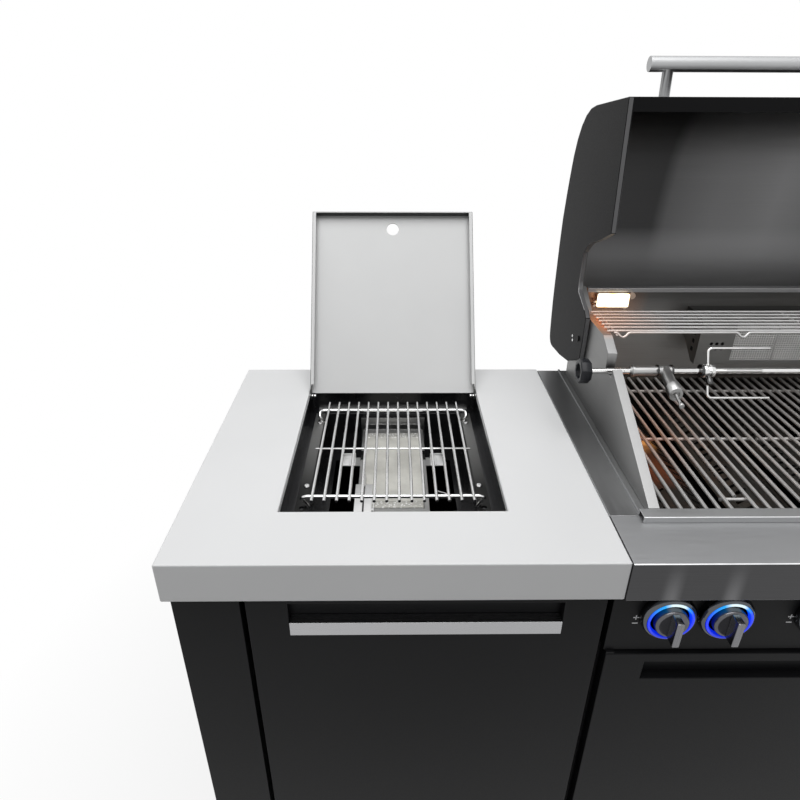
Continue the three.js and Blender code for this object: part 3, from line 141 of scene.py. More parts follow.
class Finish:
    """A node material that reads the piece's own coordinates, in metres."""

    def __init__(self, name, colour, roughness=0.5, metallic=0.0, **sockets):
        self.material = bpy.data.materials.new(name)
        self.material.use_nodes = True
        self.material.diffuse_color = (*colour, 1.0)
        self.tree = self.material.node_tree
        self.shader = self.tree.nodes["Principled BSDF"]
        self.place = self.add("ShaderNodeTexCoord").outputs["Object"]
        self.put(Base_Color=colour, Roughness=roughness, Metallic=metallic, **sockets)

    def add(self, kind, inputs=None, **settings):
        return new_node(self.tree, kind, inputs, **settings)

    def put(self, **sockets):
        """Feeds sockets of the shader. An underscore stands for a space in a socket's name."""
        for socket, value in sockets.items():
            feed(self.tree, self.shader.inputs[socket.replace("_", " ")], value)

    def mapped(self, stretch=(1, 1, 1), turn=(0, 0, 0)):
        return self.add("ShaderNodeMapping", {"Vector": self.place, "Scale": stretch, "Rotation": turn})

    def noise(self, scale, stretch=(1, 1, 1), detail=3.0, roughness=0.5, turn=(0, 0, 0)):
        return self.add("ShaderNodeTexNoise", {"Vector": self.mapped(stretch, turn), "Scale": scale,
                                               "Detail": detail, "Roughness": roughness})

    def cells(self, scale, randomness=1.0):
        return self.add("ShaderNodeTexVoronoi", {"Vector": self.mapped(), "Scale": scale,
                                                 "Randomness": randomness})

    def ramp(self, factor, stops):
        made = self.add("ShaderNodeValToRGB", {"Fac": factor})
        band = made.color_ramp
        while len(band.elements) < len(stops):
            band.elements.new(0.5)
        for element, (place, colour) in zip(band.elements, stops):
            element.position = place
            element.color = (*colour, 1.0)
        return made

    def greys(self, factor, *stops):
        return self.ramp(factor, [(place, (level,) * 3) for place, level in stops])

    def tones(self, factor, colour, dim, bright, low=0.3, high=0.7):
        """Shades of one colour, from dim times it to bright times it."""
        return self.ramp(factor, [(low, shaded(colour, dim)), (high, shaded(colour, bright))])

    def spread(self, value, low, high, to_low, to_high):
        return self.add("ShaderNodeMapRange", {"Value": value, "From Min": low, "From Max": high,
                                               "To Min": to_low, "To Max": to_high})

    def rough(self, grain, centre, less, more, low=0.3):
        """Roughness that varies with a grain."""
        self.put(Roughness=self.spread(grain, low, 0.7, centre - less, centre + more))

    def mixed(self, factor, first, second, blend="MIX"):
        return self.add("ShaderNodeMix", {"Factor": factor, 6: first, 7: second}, data_type="RGBA",
                        blend_type=blend).outputs[2]

    def times(self, first, second):
        return self.add("ShaderNodeMath", {0: first, 1: second}, operation="MULTIPLY")

    def along(self, axis, first, last, here=0.0, there=1.0):
        """From here to there between two places on an axis, in at() millimetres."""
        index = "XYZ".index(axis)
        low, high = (at(place, place, place)[index] for place in (first, last))
        split = self.add("ShaderNodeSeparateXYZ", {"Vector": self.place})
        return self.spread(split.outputs[index], low, high, here, there)

    def near(self, place, reach, amount=1.0):
        """amount at a point given in at() millimetres, falling to 0 at reach mm from it."""
        gap = self.add("ShaderNodeVectorMath", {0: self.place, 1: at(*place)}, operation="DISTANCE")
        return self.spread(gap.outputs["Value"], reach * 0.25 * MM, reach * MM, amount, 0.0)

    def turning(self):
        """How far round and how far out a turned piece goes, from its UV map."""
        place = self.add("ShaderNodeUVMap", uv_map="turning")
        return self.add("ShaderNodeSeparateXYZ", {"Vector": place}).outputs

    def bump(self, height, depth, strength):
        """Adds relief and gives the finished material."""
        relief = self.add("ShaderNodeBump", {"Height": height, "Distance": depth, "Strength": strength})
        self.put(Normal=relief)
        return self.material


def shaded(colour, amount):
    return tuple(min(1.0, channel * amount) for channel in colour)


def coated(name, colour, roughness=0.42, speck=0.05, specular=0.45):
    """Powder coat: a fine orange peel and faint clouding."""
    made = Finish(name, colour, roughness, Specular_IOR_Level=specular)
    made.put(Base_Color=made.tones(made.noise(3.5, detail=4), colour, 1 - speck, 1 + speck))
    peel = made.noise(620, detail=2)
    made.rough(peel, roughness, 0.05, 0.06)
    return made.bump(peel, 0.00004, 0.6)


def brushed(name, colour, along="X", roughness=0.34, contrast=0.16, fine=70, stain=None, tint=(), fade=None,
            painted_firelight=None):
    """Brushed sheet: streaks along one axis in its tone, roughness and relief.

    stain is a colour, scale and amount of patches. tint lists colours, places, reaches and amounts of painted
    light and shade, laid on as soft spots of colour.
    fade is an axis, two places along it in at() millimetres, and how much of the tone is there at each, as
    painted light and shade along the sheet.
    The last argument is a colour, place, reach and amount of painted firelight, a glow of the sheet itself
    round that place.
    """
    made = Finish(name, colour, roughness, 1.0)
    streak = made.noise(11, [1 if axis == along else fine for axis in "XYZ"], detail=4, roughness=0.65)
    tone = made.tones(streak, colour, 1 - contrast, 1 + contrast, 0.32, 0.68)
    cloud = made.spread(made.noise(2.2), 0.35, 0.65, 0.0, 0.35)
    soft = made.mixed(cloud, tone, shaded(colour, 0.82))
    if stain:
        patch = made.noise(stain[1], detail=5, roughness=0.6)
        soft = made.mixed(made.spread(patch, 0.48, 0.66, 0.0, stain[2]), soft, stain[0])
    # Painted light and shade: soft spots of colour round each place.
    for painted_light_colour, *spot in tint:
        soft = made.mixed(made.near(*spot), soft, painted_light_colour)
    # Painted light and shade: the tone is scaled along one axis.
    if fade:
        soft = made.mixed(1.0, soft, made.along(*fade), "MULTIPLY")
    # Painted firelight: the sheet itself glows round one place.
    if painted_firelight:
        glow, *spot = painted_firelight
        flicker = made.spread(made.noise(60), 0.4, 0.6, 0.3, 1)
        made.put(Emission_Color=glow, Emission_Strength=made.times(made.near(*spot), flicker))
    made.put(Base_Color=soft)
    made.rough(streak, roughness, 0.07, 0.09)
    return made.bump(streak, 0.00002, 0.35)


def banded_liner(name, colour):
    """The hood's brushed lining, with wide soft bands of light and shade across it."""
    made = Finish(name, colour, 0.4, 1.0)
    streak = made.noise(11, (1, 110, 110), roughness=0.6)
    bands = made.greys(made.along("X", 350, 1090), (0.0, 0.2), (0.1, 0.26), (0.24, 0.24), (0.275, 0.55),
                       (0.4, 0.85), (0.56, 1.0), (0.75, 0.7), (0.9, 0.85), (1.0, 0.3))
    patch = made.noise(2.4, (1.0, 0.6, 0.6), detail=2, turn=(0, 0.5, 0))
    shade = made.mixed(1.0, bands, made.greys(patch, (0.3, 0.75), (0.7, 1.0)), "MULTIPLY")
    upper = made.mixed(1.0, made.tones(streak, colour, 0.94, 1.06), shade, "MULTIPLY")
    # Painted light: the lining grows lighter towards its lower edge.
    low_part = made.along("Z", 150, 270, 1.0, 0.0)
    made.put(Base_Color=made.mixed(low_part, upper, shaded(colour, 1.35)))
    made.rough(streak, 0.4, 0.0, 0.12)
    return made.bump(streak, 0.00002, 0.2)


def apron_steel(name, colour):
    """The fascia's front, darkened as painted shade, with a painted reflection: a soft upright band of light
    over each knob.
    """
    made = Finish(name, colour, 0.34, 1.0)
    low, high = box_mm("front_fascia")
    stops = [(0.0, 0.0)]
    for knob in KNOBS:
        middle = (middle_mm(knob)[0] - low.x - 6) / (high.x - low.x)
        stops += [(middle - 0.026, 0.0), (middle - 0.016, 0.6), (middle - 0.007, 0.8), (middle + 0.007, 0.0)]
    # Painted reflection: an upright band by each knob, strongest low on the front.
    bars = made.greys(made.along("X", low.x, high.x), *stops)
    rise = made.along("Z", low.z, -8, 0.95, 0.12)
    streak = made.noise(11, (1, 120, 120))
    tone = made.tones(streak, colour, 0.93, 1.07)
    made.put(Base_Color=made.mixed(made.times(bars, rise), tone, shaded(colour, 3.0)))
    made.rough(streak, 0.34, 0.04, 0.04)
    return made.bump(streak, 0.00002, 0.2)


def polished(name, colour, roughness=0.2, tint=None, where=(), patches=0.0, metallic=1.0):
    """Drawn wire or bar: bright and smooth, with a warm tint in random patches and, as painted lamp and fire
    light, the same colour round the places in where.
    """
    made = Finish(name, colour, roughness, metallic)
    rings = made.noise(40, detail=1)
    tone = made.tones(rings, colour, 0.95, 1.04)
    if tint:
        tone = made.mixed(made.spread(made.noise(3, detail=1), 0.4, 0.65, 0.0, patches), tone, tint)
        # Painted lamp and fire light: the tint's colour round each place.
        for spot in where:
            tone = made.mixed(made.near(*spot), tone, tint)
    made.put(Base_Color=tone)
    made.rough(rings, roughness, 0.02, 0.05)
    return made.material


def glowing(name, colour, strength):
    """A lit glass, a little uneven and warmer in places."""
    made = Finish(name, colour, 0.3)
    uneven = made.noise(40, (1, 1, 2.5), detail=2)
    warm = (colour[0], colour[1] * 0.7, colour[2] * 0.4)
    made.put(Emission_Color=made.ramp(uneven, [(0.38, warm), (0.5, colour)]), Emission_Strength=strength)
    return made.bump(uneven, 0.0002, 0.3)


def ceramic_finish(name, colour):
    """Unglazed tile with rows of fine burner holes."""
    made = Finish(name, colour, 0.85)
    holes = made.spread(made.cells(430, 0.0), 0.1, 0.26, 0.35, 1.0)
    face = made.tones(made.noise(26, detail=4), colour, 0.78, 1.06)
    made.put(Base_Color=made.mixed(holes, shaded(colour, 0.28), face))
    return made.bump(holes, 0.0008, 0.8)


def pebbled_finish(name, colour):
    """Cast frame of the tile, rough with small grains."""
    made = Finish(name, colour, 0.6, 0.7)
    grains = made.cells(240)
    made.put(Base_Color=made.tones(grains, colour, 1.25, 0.55, 0.05, 0.5))
    return made.bump(grains, 0.0009, 0.8)


def blackened(name, colour, roughness=0.3):
    """Black enamel with faint flow marks and dust."""
    made = Finish(name, colour, roughness, Specular_IOR_Level=0.38)
    flow = made.noise(14, detail=4)
    made.put(Base_Color=made.tones(flow, colour, 0.8, 1.5))
    made.rough(made.noise(240, detail=2), roughness, 0.02, 0.05, 0.35)
    return made.bump(flow, 0.00006, 0.3)


def moulded(name, colour, roughness=0.5):
    """Moulded plastic with a fine matt grain."""
    made = Finish(name, colour, roughness, Specular_IOR_Level=0.25)
    made.put(Base_Color=made.tones(made.noise(12, detail=2), colour, 0.85, 1.2))
    return made.bump(made.noise(900, detail=2), 0.00005, 0.5)


def spun(name, colour, roughness=0.3):
    """Turned metal face: fine grooves round the piece's own axis, and broad lighter sweeps round it as a
    painted reflection.
    """
    made = Finish(name, colour, roughness, 1.0)
    round_it, outward, _ = made.turning()
    grooves = made.add("ShaderNodeTexNoise", noise_dimensions="1D",
                       inputs={"W": outward, "Scale": 260, "Detail": 2})
    sweep = made.add("ShaderNodeTexNoise", noise_dimensions="1D", inputs={"W": round_it, "Scale": 5})
    tone = made.tones(grooves, colour, 0.75, 1.3)
    # Painted reflection: broad lighter sweeps round the axis.
    made.put(Base_Color=made.mixed(made.spread(sweep, 0.35, 0.65, 0, 0.5), tone, shaded(colour, 1.5)))
    return made.bump(grooves, 0.00003, 0.4)


def light_ring(name, strength):
    """The lit ring of a knob: white above, cyan on its left and deep blue on its right and below."""
    made = Finish(name, (0.02, 0.05, 0.12), 0.3)
    made.put(Emission_Strength=strength, Emission_Color=made.ramp(made.turning()[0], [
        (0.0, (0.0, 0.02, 0.9)), (0.08, (0.0, 0.05, 1.0)), (0.14, (0.0, 0.3, 1.0)), (0.18, (0.75, 0.95, 1.0)),
        (0.27, (0.8, 0.96, 1.0)), (0.32, (0.0, 0.4, 1.0)), (0.42, (0.0, 0.12, 1.0)), (0.5, (0.0, 0.02, 0.9)),
        (0.75, (0.0, 0.01, 0.5)), (1.0, (0.0, 0.02, 0.9))]))
    return made.material


MATERIALS = {}


def finishes():
    """The island's finishes, made once and kept by name."""
    if MATERIALS:
        return MATERIALS
    paint = bpy.context.scene.island_colours
    sizes = bpy.context.scene.island_sizes
    # Painted lamp light: the warm colour of the lamps' light, laid on steel near the lamps as soft spots.
    painted_lamp_light = (1.0, 0.5, 0.27)
    MATERIALS.update(
        worktop=coated("worktop_grey_coat", tuple(paint.worktop), 0.42, 0.02),
        # Painted shade: the lid's underside is a slightly darker copy of the worktop's coat.
        lid_inner=coated("lid_underside_coat", (0.67, 0.675, 0.675), 0.36, 0.04),
        lid_edge=blackened("lid_edge_dark", (0.03, 0.032, 0.03), 0.4),
        cabinet=coated("cabinet_black_satin", tuple(paint.cabinet), 0.42, 0.12, 0.1),
        hood=coated("hood_charcoal_enamel", tuple(paint.hood), 0.5, 0.05, 0.06),
        # Painted highlight: the flange edges of the hood's end plates are a much lighter copy of its enamel.
        hood_edge=coated("hood_edge_highlight_enamel", (0.11, 0.11, 0.113), 0.4, 0.06),
        liner=banded_liner("hood_liner_steel", (0.3, 0.3, 0.304)),
        fascia=brushed("fascia_brushed_steel", (0.44, 0.445, 0.455), "X", 0.5, 0.03, 150),
        # Painted shade: the fascia's front is a dark copy of its steel, with painted reflections over the
        # knobs.
        apron=apron_steel("fascia_front_steel", (0.065, 0.065, 0.067)),
        # Painted highlight: the folds along the fascia's and the firebox rail's front edges, a bright copy of
        # their steel.
        edge=polished("fold_highlight_steel", (0.9, 0.91, 0.92), 0.3),
        # Painted reflection: the deck grows lighter towards its front.
        deck=brushed("deck_brushed_steel", (0.2, 0.202, 0.205), "Y", 0.36, 0.05, 140,
                     fade=("Y", 190, 340, 2.0, 1.1)),
        rail=brushed("rail_brushed_steel", (0.46, 0.465, 0.47), "X", 0.5, 0.03, 150),
        # Painted lamp light in a warm spot by the lamp, and painted reflection that makes the wall lighter
        # towards its front.
        wall=brushed("wall_brushed_steel", (0.2, 0.2, 0.198), "Y", 0.4, 0.06, 120,
                     tint=[(painted_lamp_light, (366, 505, 168), 62, 0.9)], fade=("Y", 180, 320, 1.9, 1.1)),
        # Painted light: the folded flange is a lighter copy of the wall's steel, with a spot of painted lamp
        # light and a spot of painted shade low on it.
        flange=brushed("wall_flange_steel", (0.4, 0.4, 0.4), "Y", 0.55, 0.03, 120,
                       tint=[(painted_lamp_light, (362, 440, 156), 70, 0.95),
                             ((0.08,) * 3, (362, 345, 108), 26, 1.0)]),
        # Real stains, a spot of painted lamp light, and painted shade that darkens the wall towards its top.
        back=brushed("back_wall_heat_stained_lamplit_steel", (0.24, 0.237, 0.23), "X", 0.42, 0.08, 90,
                     stain=((0.2, 0.18, 0.16), 6, 0.3), tint=[(painted_lamp_light, (405, 552, 160), 90, 0.45)],
                     fade=("Z", 120, 165, 1.35, 0.5)),
        back_rail=brushed("back_rail_steel", (0.36, 0.36, 0.365), "X", 0.4, 0.04, 130),
        firebox=brushed("firebox_smoked_steel", (0.05, 0.045, 0.04), "X", 0.45, 0.3,
                        stain=((0.02, 0.014, 0.01), 9, 0.8)),
        # Real brown stains, with painted firelight: orange and red colour round two places at the left and a
        # glow round one of them.
        tamer=brushed("tamer_burnt_firelit_steel", (0.1, 0.095, 0.088), "Y", 0.42, 0.2,
                      stain=((0.13, 0.075, 0.05), 13, 0.5),
                      tint=[((1.0, 0.45, 0.16), (448, 372, -58), 46, 1.0),
                            ((0.6, 0.2, 0.09), (448, 290, -58), 70, 0.8)],
                      painted_firelight=((1.0, 0.42, 0.12), (440, 372, -58), 44, 0.55)),
        burner=brushed("burner_tube_steel", (0.1, 0.09, 0.08), "Y", 0.4, 0.2),
        well=blackened("well_black_enamel", (0.009, 0.009, 0.01), 0.18),
        # Painted shade: the ledge grows much darker towards its front.
        ledge=brushed("ledge_bright_steel", (0.24, 0.24, 0.236), "Y", 0.42, 0.05, 120,
                      fade=("Y", 220, 420, 0.12, 1.1)),
        clip=brushed("clip_bright_steel", (0.85, 0.85, 0.85), "X", 0.42, 0.05, 120),
        wire=polished("sear_wire_steel", (0.8, 0.8, 0.8), 0.18),
        # Painted lamp light: a warm colour round a place at the rack's left end, by the lamp.
        rack=polished("rack_wire_steel", (0.68, 0.676, 0.67), 0.3, (0.85, 0.55, 0.42),
                      [((380, 450, 157), 110, 0.75)], 0.0, 0.45),
        # A faint warm tint in random patches, and painted lamp and fire light in the same colour round two
        # places at the left.
        grate=polished("grate_rod_steel", (0.62, 0.613, 0.605), 0.3, (0.8, 0.45, 0.32),
                       [((400, 330, -6), 140, 0.7), ((500, 420, -6), 110, 0.3)], 0.05, 0.5),
        spit=polished("spit_steel", (0.8, 0.8, 0.79), 0.16),
        spit_dark=polished("spit_dark_steel", (0.1, 0.1, 0.1), 0.25),
        weight=polished("weight_satin_steel", (0.45, 0.45, 0.445), 0.36),
        bolt=polished("screw_steel", (0.7, 0.7, 0.7), 0.2),
        bezel=polished("bezel_dark_chrome", (0.1, 0.105, 0.115), 0.14),
        knob=spun("knob_turned_metal", (0.1, 0.1, 0.107), 0.28),
        grip=brushed("knob_grip_metal", (0.2, 0.2, 0.21), "Z", 0.26, 0.15, 90),
        ring=light_ring("knob_light_ring", sizes.knob_glow),
        mark=coated("printed_white_mark", (0.95, 0.96, 0.98), 0.5),
        tile=ceramic_finish("sear_tile_ceramic", (0.72, 0.71, 0.66)),
        tile_frame=pebbled_finish("tile_frame_cast", (0.95, 0.94, 0.88)),
        burner_box=brushed("sear_burner_steel", (0.4, 0.4, 0.395), "Y", 0.36, 0.08, 110),
        # Painted reflection: the burner's box grows darker towards its top.
        rear_box=brushed("rear_burner_steel", (0.23, 0.23, 0.223), "X", 0.42, 0.08, 90,
                         fade=("Z", 125, 147, 1.0, 0.3)),
        rear_backing=ceramic_finish("rear_burner_ceramic", (0.6, 0.6, 0.59)),
        mesh_wire=polished("rear_mesh_wire", (0.95, 0.95, 0.94), 0.4, metallic=0.2),
        # Painted lamp light: the tray's steel is coloured warm by the light of its lamp.
        lamp_tray=brushed("lamp_tray_steel", (0.8, 0.62, 0.5), "X", 0.34, 0.05, 120),
        lamp=glowing("lamp_warm_glass", (1.0, 0.86, 0.62), sizes.lamp_glow),
        plastic=moulded("black_moulded_plastic", (0.012, 0.013, 0.016), 0.34),
        grip_strip=brushed("grip_strip_steel", (0.42, 0.42, 0.43), "X", 0.26, 0.05, 120),
        frame_black=blackened("base_frame_black", (0.012, 0.012, 0.013), 0.45),
        # Painted shade: the walls of cut holes and slots are near-black.
        hollow=blackened("hollow_dark", (0.006, 0.006, 0.006), 0.7),
        tray=brushed("tray_galvanised_steel", (0.3, 0.3, 0.3), "Y", 0.4, 0.1),
    )
    return MATERIALS


# Meshes


def placed(name, data):
    made = bpy.data.objects.new(name, data)
    bpy.context.scene.collection.objects.link(made)
    return made


def as_mesh(name, shape, outward=True):
    """A shape as a mesh, which uses the shape up."""
    if outward:
        bmesh.ops.recalc_face_normals(shape, faces=shape.faces)
    mesh = bpy.data.meshes.new(name)
    shape.to_mesh(mesh)
    shape.free()
    return mesh


def shape_of(*parts):
    """A shape from parts, each a function that adds to a shape, followed by the values it takes."""
    shape = bmesh.new()
    for add, *values in parts:
        add(shape, *values)
    return shape


def applied(piece, modifier):
    """The mesh that a modifier makes of a piece, which loses the modifier."""
    graph = bpy.context.evaluated_depsgraph_get()
    mesh = bpy.data.meshes.new_from_object(piece.evaluated_get(graph), depsgraph=graph)
    piece.modifiers.remove(modifier)
    return mesh


def settle(name, mesh, finish, slot, node=None, body="island", angle=CREASE):
    """A mesh as a piece that moves with a body, and stands for a CAD node if one is given.

    Without a finish it keeps the materials that it has.
    """
    mesh.name = name
    if finish:
        mesh.materials.clear()
        mesh.materials.append(finishes()[finish])
    mesh.shade_smooth()
    mesh.set_sharp_from_angle(angle=math.radians(angle))
    piece = placed(name, mesh)
    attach(piece, body)
    if node:
        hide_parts(node)
    return piece


def from_bmesh(name, shape, *looks, **rest):
    """A shape as a piece. What follows the shape is as settle() takes it."""
    bmesh.ops.remove_doubles(shape, verts=shape.verts, dist=WELD)
    return settle(name, as_mesh(name, shape), *looks, **rest)


def built(name, finish, slot, *parts, **rest):
    """A piece from the parts that shape_of() takes."""
    return from_bmesh(name, shape_of(*parts), finish, slot, **rest)


def merged_copy(node):
    """A copy of a CAD node's mesh with its triangles joined into flat faces."""
    shape = bmesh.new()
    shape.from_mesh(frame["nodes"][node].data)
    bmesh.ops.remove_doubles(shape, verts=shape.verts, dist=WELD)
    bmesh.ops.dissolve_limit(shape, angle_limit=math.radians(0.4), verts=shape.verts, edges=shape.edges)
    bmesh.ops.recalc_face_normals(shape, faces=shape.faces)
    return shape


def depth_beside(edge, face):
    """How far a face reaches away from one of its edges."""
    start, end = edge.verts[0].co, edge.verts[1].co
    run = (end - start).normalized()
    return max(((v.co - start) - run * (v.co - start).dot(run)).length for v in face.verts)


def ease_edges(shape, width, segments=3, deeper=5.0):
    """Rounds the outer folds of a sheet piece, where both faces are deeper than its thickness."""
    sharpest = math.radians(24)
    shortest = 2.2 * width * MM
    folds = [edge for edge in shape.edges
             if len(edge.link_faces) == 2 and edge.is_convex
             and edge.calc_face_angle(0.0) >= sharpest and edge.calc_length() >= shortest
             and min(depth_beside(edge, face) for face in edge.link_faces) >= deeper * MM]
    if folds:
        bmesh.ops.bevel(shape, geom=folds, offset=width * MM, segments=segments, profile=0.5,
                        affect="EDGES", clamp_overlap=False, loop_slide=True)


def even_normals(piece):
    """Gives the shading to the large flat faces, so that only the eased edges turn."""
    modifier = piece.modifiers.new("face_weights", "WEIGHTED_NORMAL")
    modifier.keep_sharp = True
    piece.data = applied(piece, modifier)
    return piece


def softened(node, finish, slot, width=1.0, segments=3, deeper=5.0, painted=None, splits=()):
    """A CAD node with rounded folds, standing for that node.

    painted says which of several finishes a face has, and splits lists X places in at() millimetres that part
    its faces.
    """
    shape = merged_copy(node)
    ease_edges(shape, width, segments, deeper)
    for x in splits:
        everything = [*shape.verts, *shape.edges, *shape.faces]
        bmesh.ops.bisect_plane(shape, geom=everything, plane_co=at(x, 0, 0), plane_no=ALONG_X)
    if painted:
        for face in shape.faces:
            face.material_index = painted(face)
    mesh = as_mesh(node, shape, False)
    for entry in [finish] if isinstance(finish, str) else finish:
        mesh.materials.append(finishes()[entry])
    body = body_of(frame["nodes"][node])[0]
    return even_normals(settle(f"{node}_finished", mesh, None, slot, node, body))


def pierced(piece, name, *cutters):
    """Takes parts out of a piece and leaves walls where they were, near-black as painted shade."""
    mesh = as_mesh(name, shape_of(*cutters))
    mesh.materials.append(finishes()["hollow"])
    tool = placed(name, mesh)
    modifier = piece.modifiers.new("holes", "BOOLEAN")
    modifier.operation = "DIFFERENCE"
    modifier.solver = "EXACT"
    modifier.material_mode = "TRANSFER"
    modifier.object = tool
    result = applied(piece, modifier)
    if len(result.polygons) < len(piece.data.polygons):
        raise RuntimeError(f"{name} cut nothing")
    piece.data = result
    result.set_sharp_from_angle(angle=math.radians(CREASE))
    bpy.data.objects.remove(tool)
    return even_normals(piece)


def cuboid(shape, low, high):
    """A block between two corners given in at() millimetres."""
    corners = [shape.verts.new(at(x, y, z)) for x in (low[0], high[0]) for y in (low[1], high[1])
               for z in (low[2], high[2])]
    for face in ((0, 1, 3, 2), (4, 6, 7, 5), (0, 4, 5, 1), (2, 3, 7, 6), (0, 2, 6, 4), (1, 5, 7, 3)):
        shape.faces.new([corners[index] for index in face])
    return corners


def rounded_block(shape, low, high, radius=0.8, segments=2):
    """A block with rounded edges, in at() millimetres."""
    edges = list({edge for vert in cuboid(shape, low, high) for edge in vert.link_edges})
    bmesh.ops.bevel(shape, geom=edges, offset=radius * MM, segments=segments, profile=0.5, affect="EDGES")


def turned(shape, profile, centre, axis, sides=32, start=0.0):
    """A profile of (radius, distance) pairs in mm, turned about an axis, with a turning UV map."""
    layer = shape.loops.layers.uv.get("turning") or shape.loops.layers.uv.new("turning")
    if profile[0][0] > 0 and profile[-1] != profile[0]:
        profile = [*profile, profile[0]]
    axis = Vector(axis).normalized()
    side, up = Vector(ALONG_X), Vector(UP)
    if abs(axis.y) < 0.9:
        side = axis.orthogonal().normalized()
        up = axis.cross(side)
    rings = []
    for radius, distance in profile:
        middle = at(*centre) + axis * distance * MM
        if radius == 0:
            rings.append([shape.verts.new(middle)] * sides)
            continue
        turns = [start + 2 * math.pi * step / sides for step in range(sides)]
        rings.append([shape.verts.new(middle + (side * math.cos(turn) + up * math.sin(turn)) * radius * MM)
                      for turn in turns])
    for row, (inner, outer) in enumerate(zip(rings, rings[1:])):
        for step in range(sides):
            after = (step + 1) % sides
            corners = {}
            for vert, spot, level in ((inner[step], step, row), (inner[after], step + 1, row),
                                      (outer[after], step + 1, row + 1), (outer[step], step, row + 1)):
                corners.setdefault(vert, (spot / sides, profile[level][0] / UV_REACH))
            if len(corners) > 2:
                for corner, spot in zip(shape.faces.new(list(corners)).loops, corners.values()):
                    corner[layer].uv = spot


def bent_path(corners, bend, steps=6):
    """Points in mm along a line through corners, each inner corner rounded."""
    corners = [Vector(corner) for corner in corners]
    path = [corners[0]]
    for before, corner, after in zip(corners, corners[1:], corners[2:]):
        start, end = (corner + (other - corner).normalized() * min(bend, (other - corner).length * 0.49)
                      for other in (before, after))
        for step in range(steps + 1):
            t = step / steps
            path.append(start * (1 - t) ** 2 + corner * 2 * t * (1 - t) + end * t ** 2)
    path.append(corners[-1])
    return path


def bridged(shape, loops):
    """Joins each loop of vertices to the next by a ring of faces."""
    for first, second in zip(loops, loops[1:]):
        for step in range(len(first)):
            after = (step + 1) % len(first)
            shape.faces.new([first[step], first[after], second[after], second[step]])


def swept(shape, path, radius, sides=12):
    """A round wire along points in mm, with domed ends."""
    points = [at(*point) for point in path]
    directions = [(after - before).normalized()
                  for before, after in zip([points[0], *points], [*points[1:], points[-1]])]
    normal = directions[0].orthogonal().normalized()
    rings = []
    for point, direction in zip(points, directions):
        normal = (normal - direction * normal.dot(direction)).normalized()
        rings.append((point, normal, direction.cross(normal), 1.0))
    dome, narrower = radius * 0.55 * MM, 0.6
    first, last = rings[0], rings[-1]
    rings.insert(0, (first[0] - directions[0] * dome, *first[1:3], narrower))
    rings.append((last[0] + directions[-1] * dome, *last[1:3], narrower))
    turns = [2 * math.pi * step / sides for step in range(sides)]
    loops = [[shape.verts.new(point + (normal * math.cos(turn) + other * math.sin(turn)) * radius * size * MM)
              for turn in turns] for point, normal, other, size in rings]
    bridged(shape, loops)
    shape.faces.new(list(reversed(loops[0])))
    shape.faces.new(loops[-1])


# Geometry node trees for what repeats


def named_tree(name, **sockets):
    tree = bpy.data.node_groups.new(name, "GeometryNodeTree")
    for label, kind in {"Geometry": "Geometry", **sockets, "Material": "Material"}.items():
        tree.interface.new_socket(label, in_out="INPUT", socket_type=f"NodeSocket{kind}")
    tree.interface.new_socket("Geometry", in_out="OUTPUT", socket_type="NodeSocketGeometry")
    return tree, tree.nodes.new("NodeGroupInput").outputs


def finish_tree(tree, inputs, geometry):
    """Ends a tree in Realize Instances and Set Material."""
    realized = new_node(tree, "GeometryNodeRealizeInstances", {"Geometry": geometry})
    welded = new_node(tree, "GeometryNodeMergeByDistance", {"Geometry": realized, "Distance": 2 * WELD})
    painted = new_node(tree, "GeometryNodeSetMaterial", {"Geometry": welded, "Material": inputs["Material"]})
    new_node(tree, "NodeGroupOutput", {"Geometry": painted})
    return tree


def rods_tree():
    """A row of round rods: one swept line, instanced on a line of points."""
    tree, inputs = named_tree("rod_row", Count="Int", First="Vector", Step="Vector", Run="Vector",
                              Radius="Float", Sides="Int")
    row = new_node(tree, "GeometryNodeMeshLine", {
        "Count": inputs["Count"], "Start Location": inputs["First"], "Offset": inputs["Step"]})
    line = new_node(tree, "GeometryNodeCurvePrimitiveLine", {"End": inputs["Run"]})
    ring = new_node(tree, "GeometryNodeCurvePrimitiveCircle", {
        "Resolution": inputs["Sides"], "Radius": inputs["Radius"]})
    sweep = new_node(tree, "GeometryNodeCurveToMesh", {
        "Curve": line, "Profile Curve": ring, "Fill Caps": True})
    return finish_tree(tree, inputs, new_node(tree, "GeometryNodeInstanceOnPoints", {
        "Points": row, "Instance": sweep}))


def copies_tree():
    """Copies of one small part on the points of a mesh, each facing along the point's own vector."""
    tree, inputs = named_tree("part_copies", Part="Object")
    part = new_node(tree, "GeometryNodeObjectInfo", {"Object": inputs["Part"]})
    facing = new_node(tree, "GeometryNodeInputNamedAttribute", {"Name": "facing"}, data_type="FLOAT_VECTOR")
    turn = new_node(tree, "FunctionNodeAlignRotationToVector", {"Vector": facing}, axis="Z")
    return finish_tree(tree, inputs, new_node(tree, "GeometryNodeInstanceOnPoints", {
        "Points": inputs["Geometry"], "Instance": part.outputs["Geometry"], "Rotation": turn}))


TREES = {}


def grown(name, maker, seed=None, **values):
    """The mesh that a node tree makes from its named inputs. Each tree is made once."""
    if maker not in TREES:
        TREES[maker] = maker()
    carrier = placed(name, seed or bpy.data.meshes.new(f"{name}_seed"))
    modifier = carrier.modifiers.new("repeat", "NODES")
    modifier.node_group = TREES[maker]
    for item in modifier.node_group.interface.items_tree:
        if item.in_out == "INPUT" and item.name in values:
            modifier[item.identifier] = values[item.name]
    mesh = applied(carrier, modifier)
    bpy.data.objects.remove(carrier)
    if not mesh.polygons:
        raise RuntimeError(f"{name} came out empty")
    return mesh


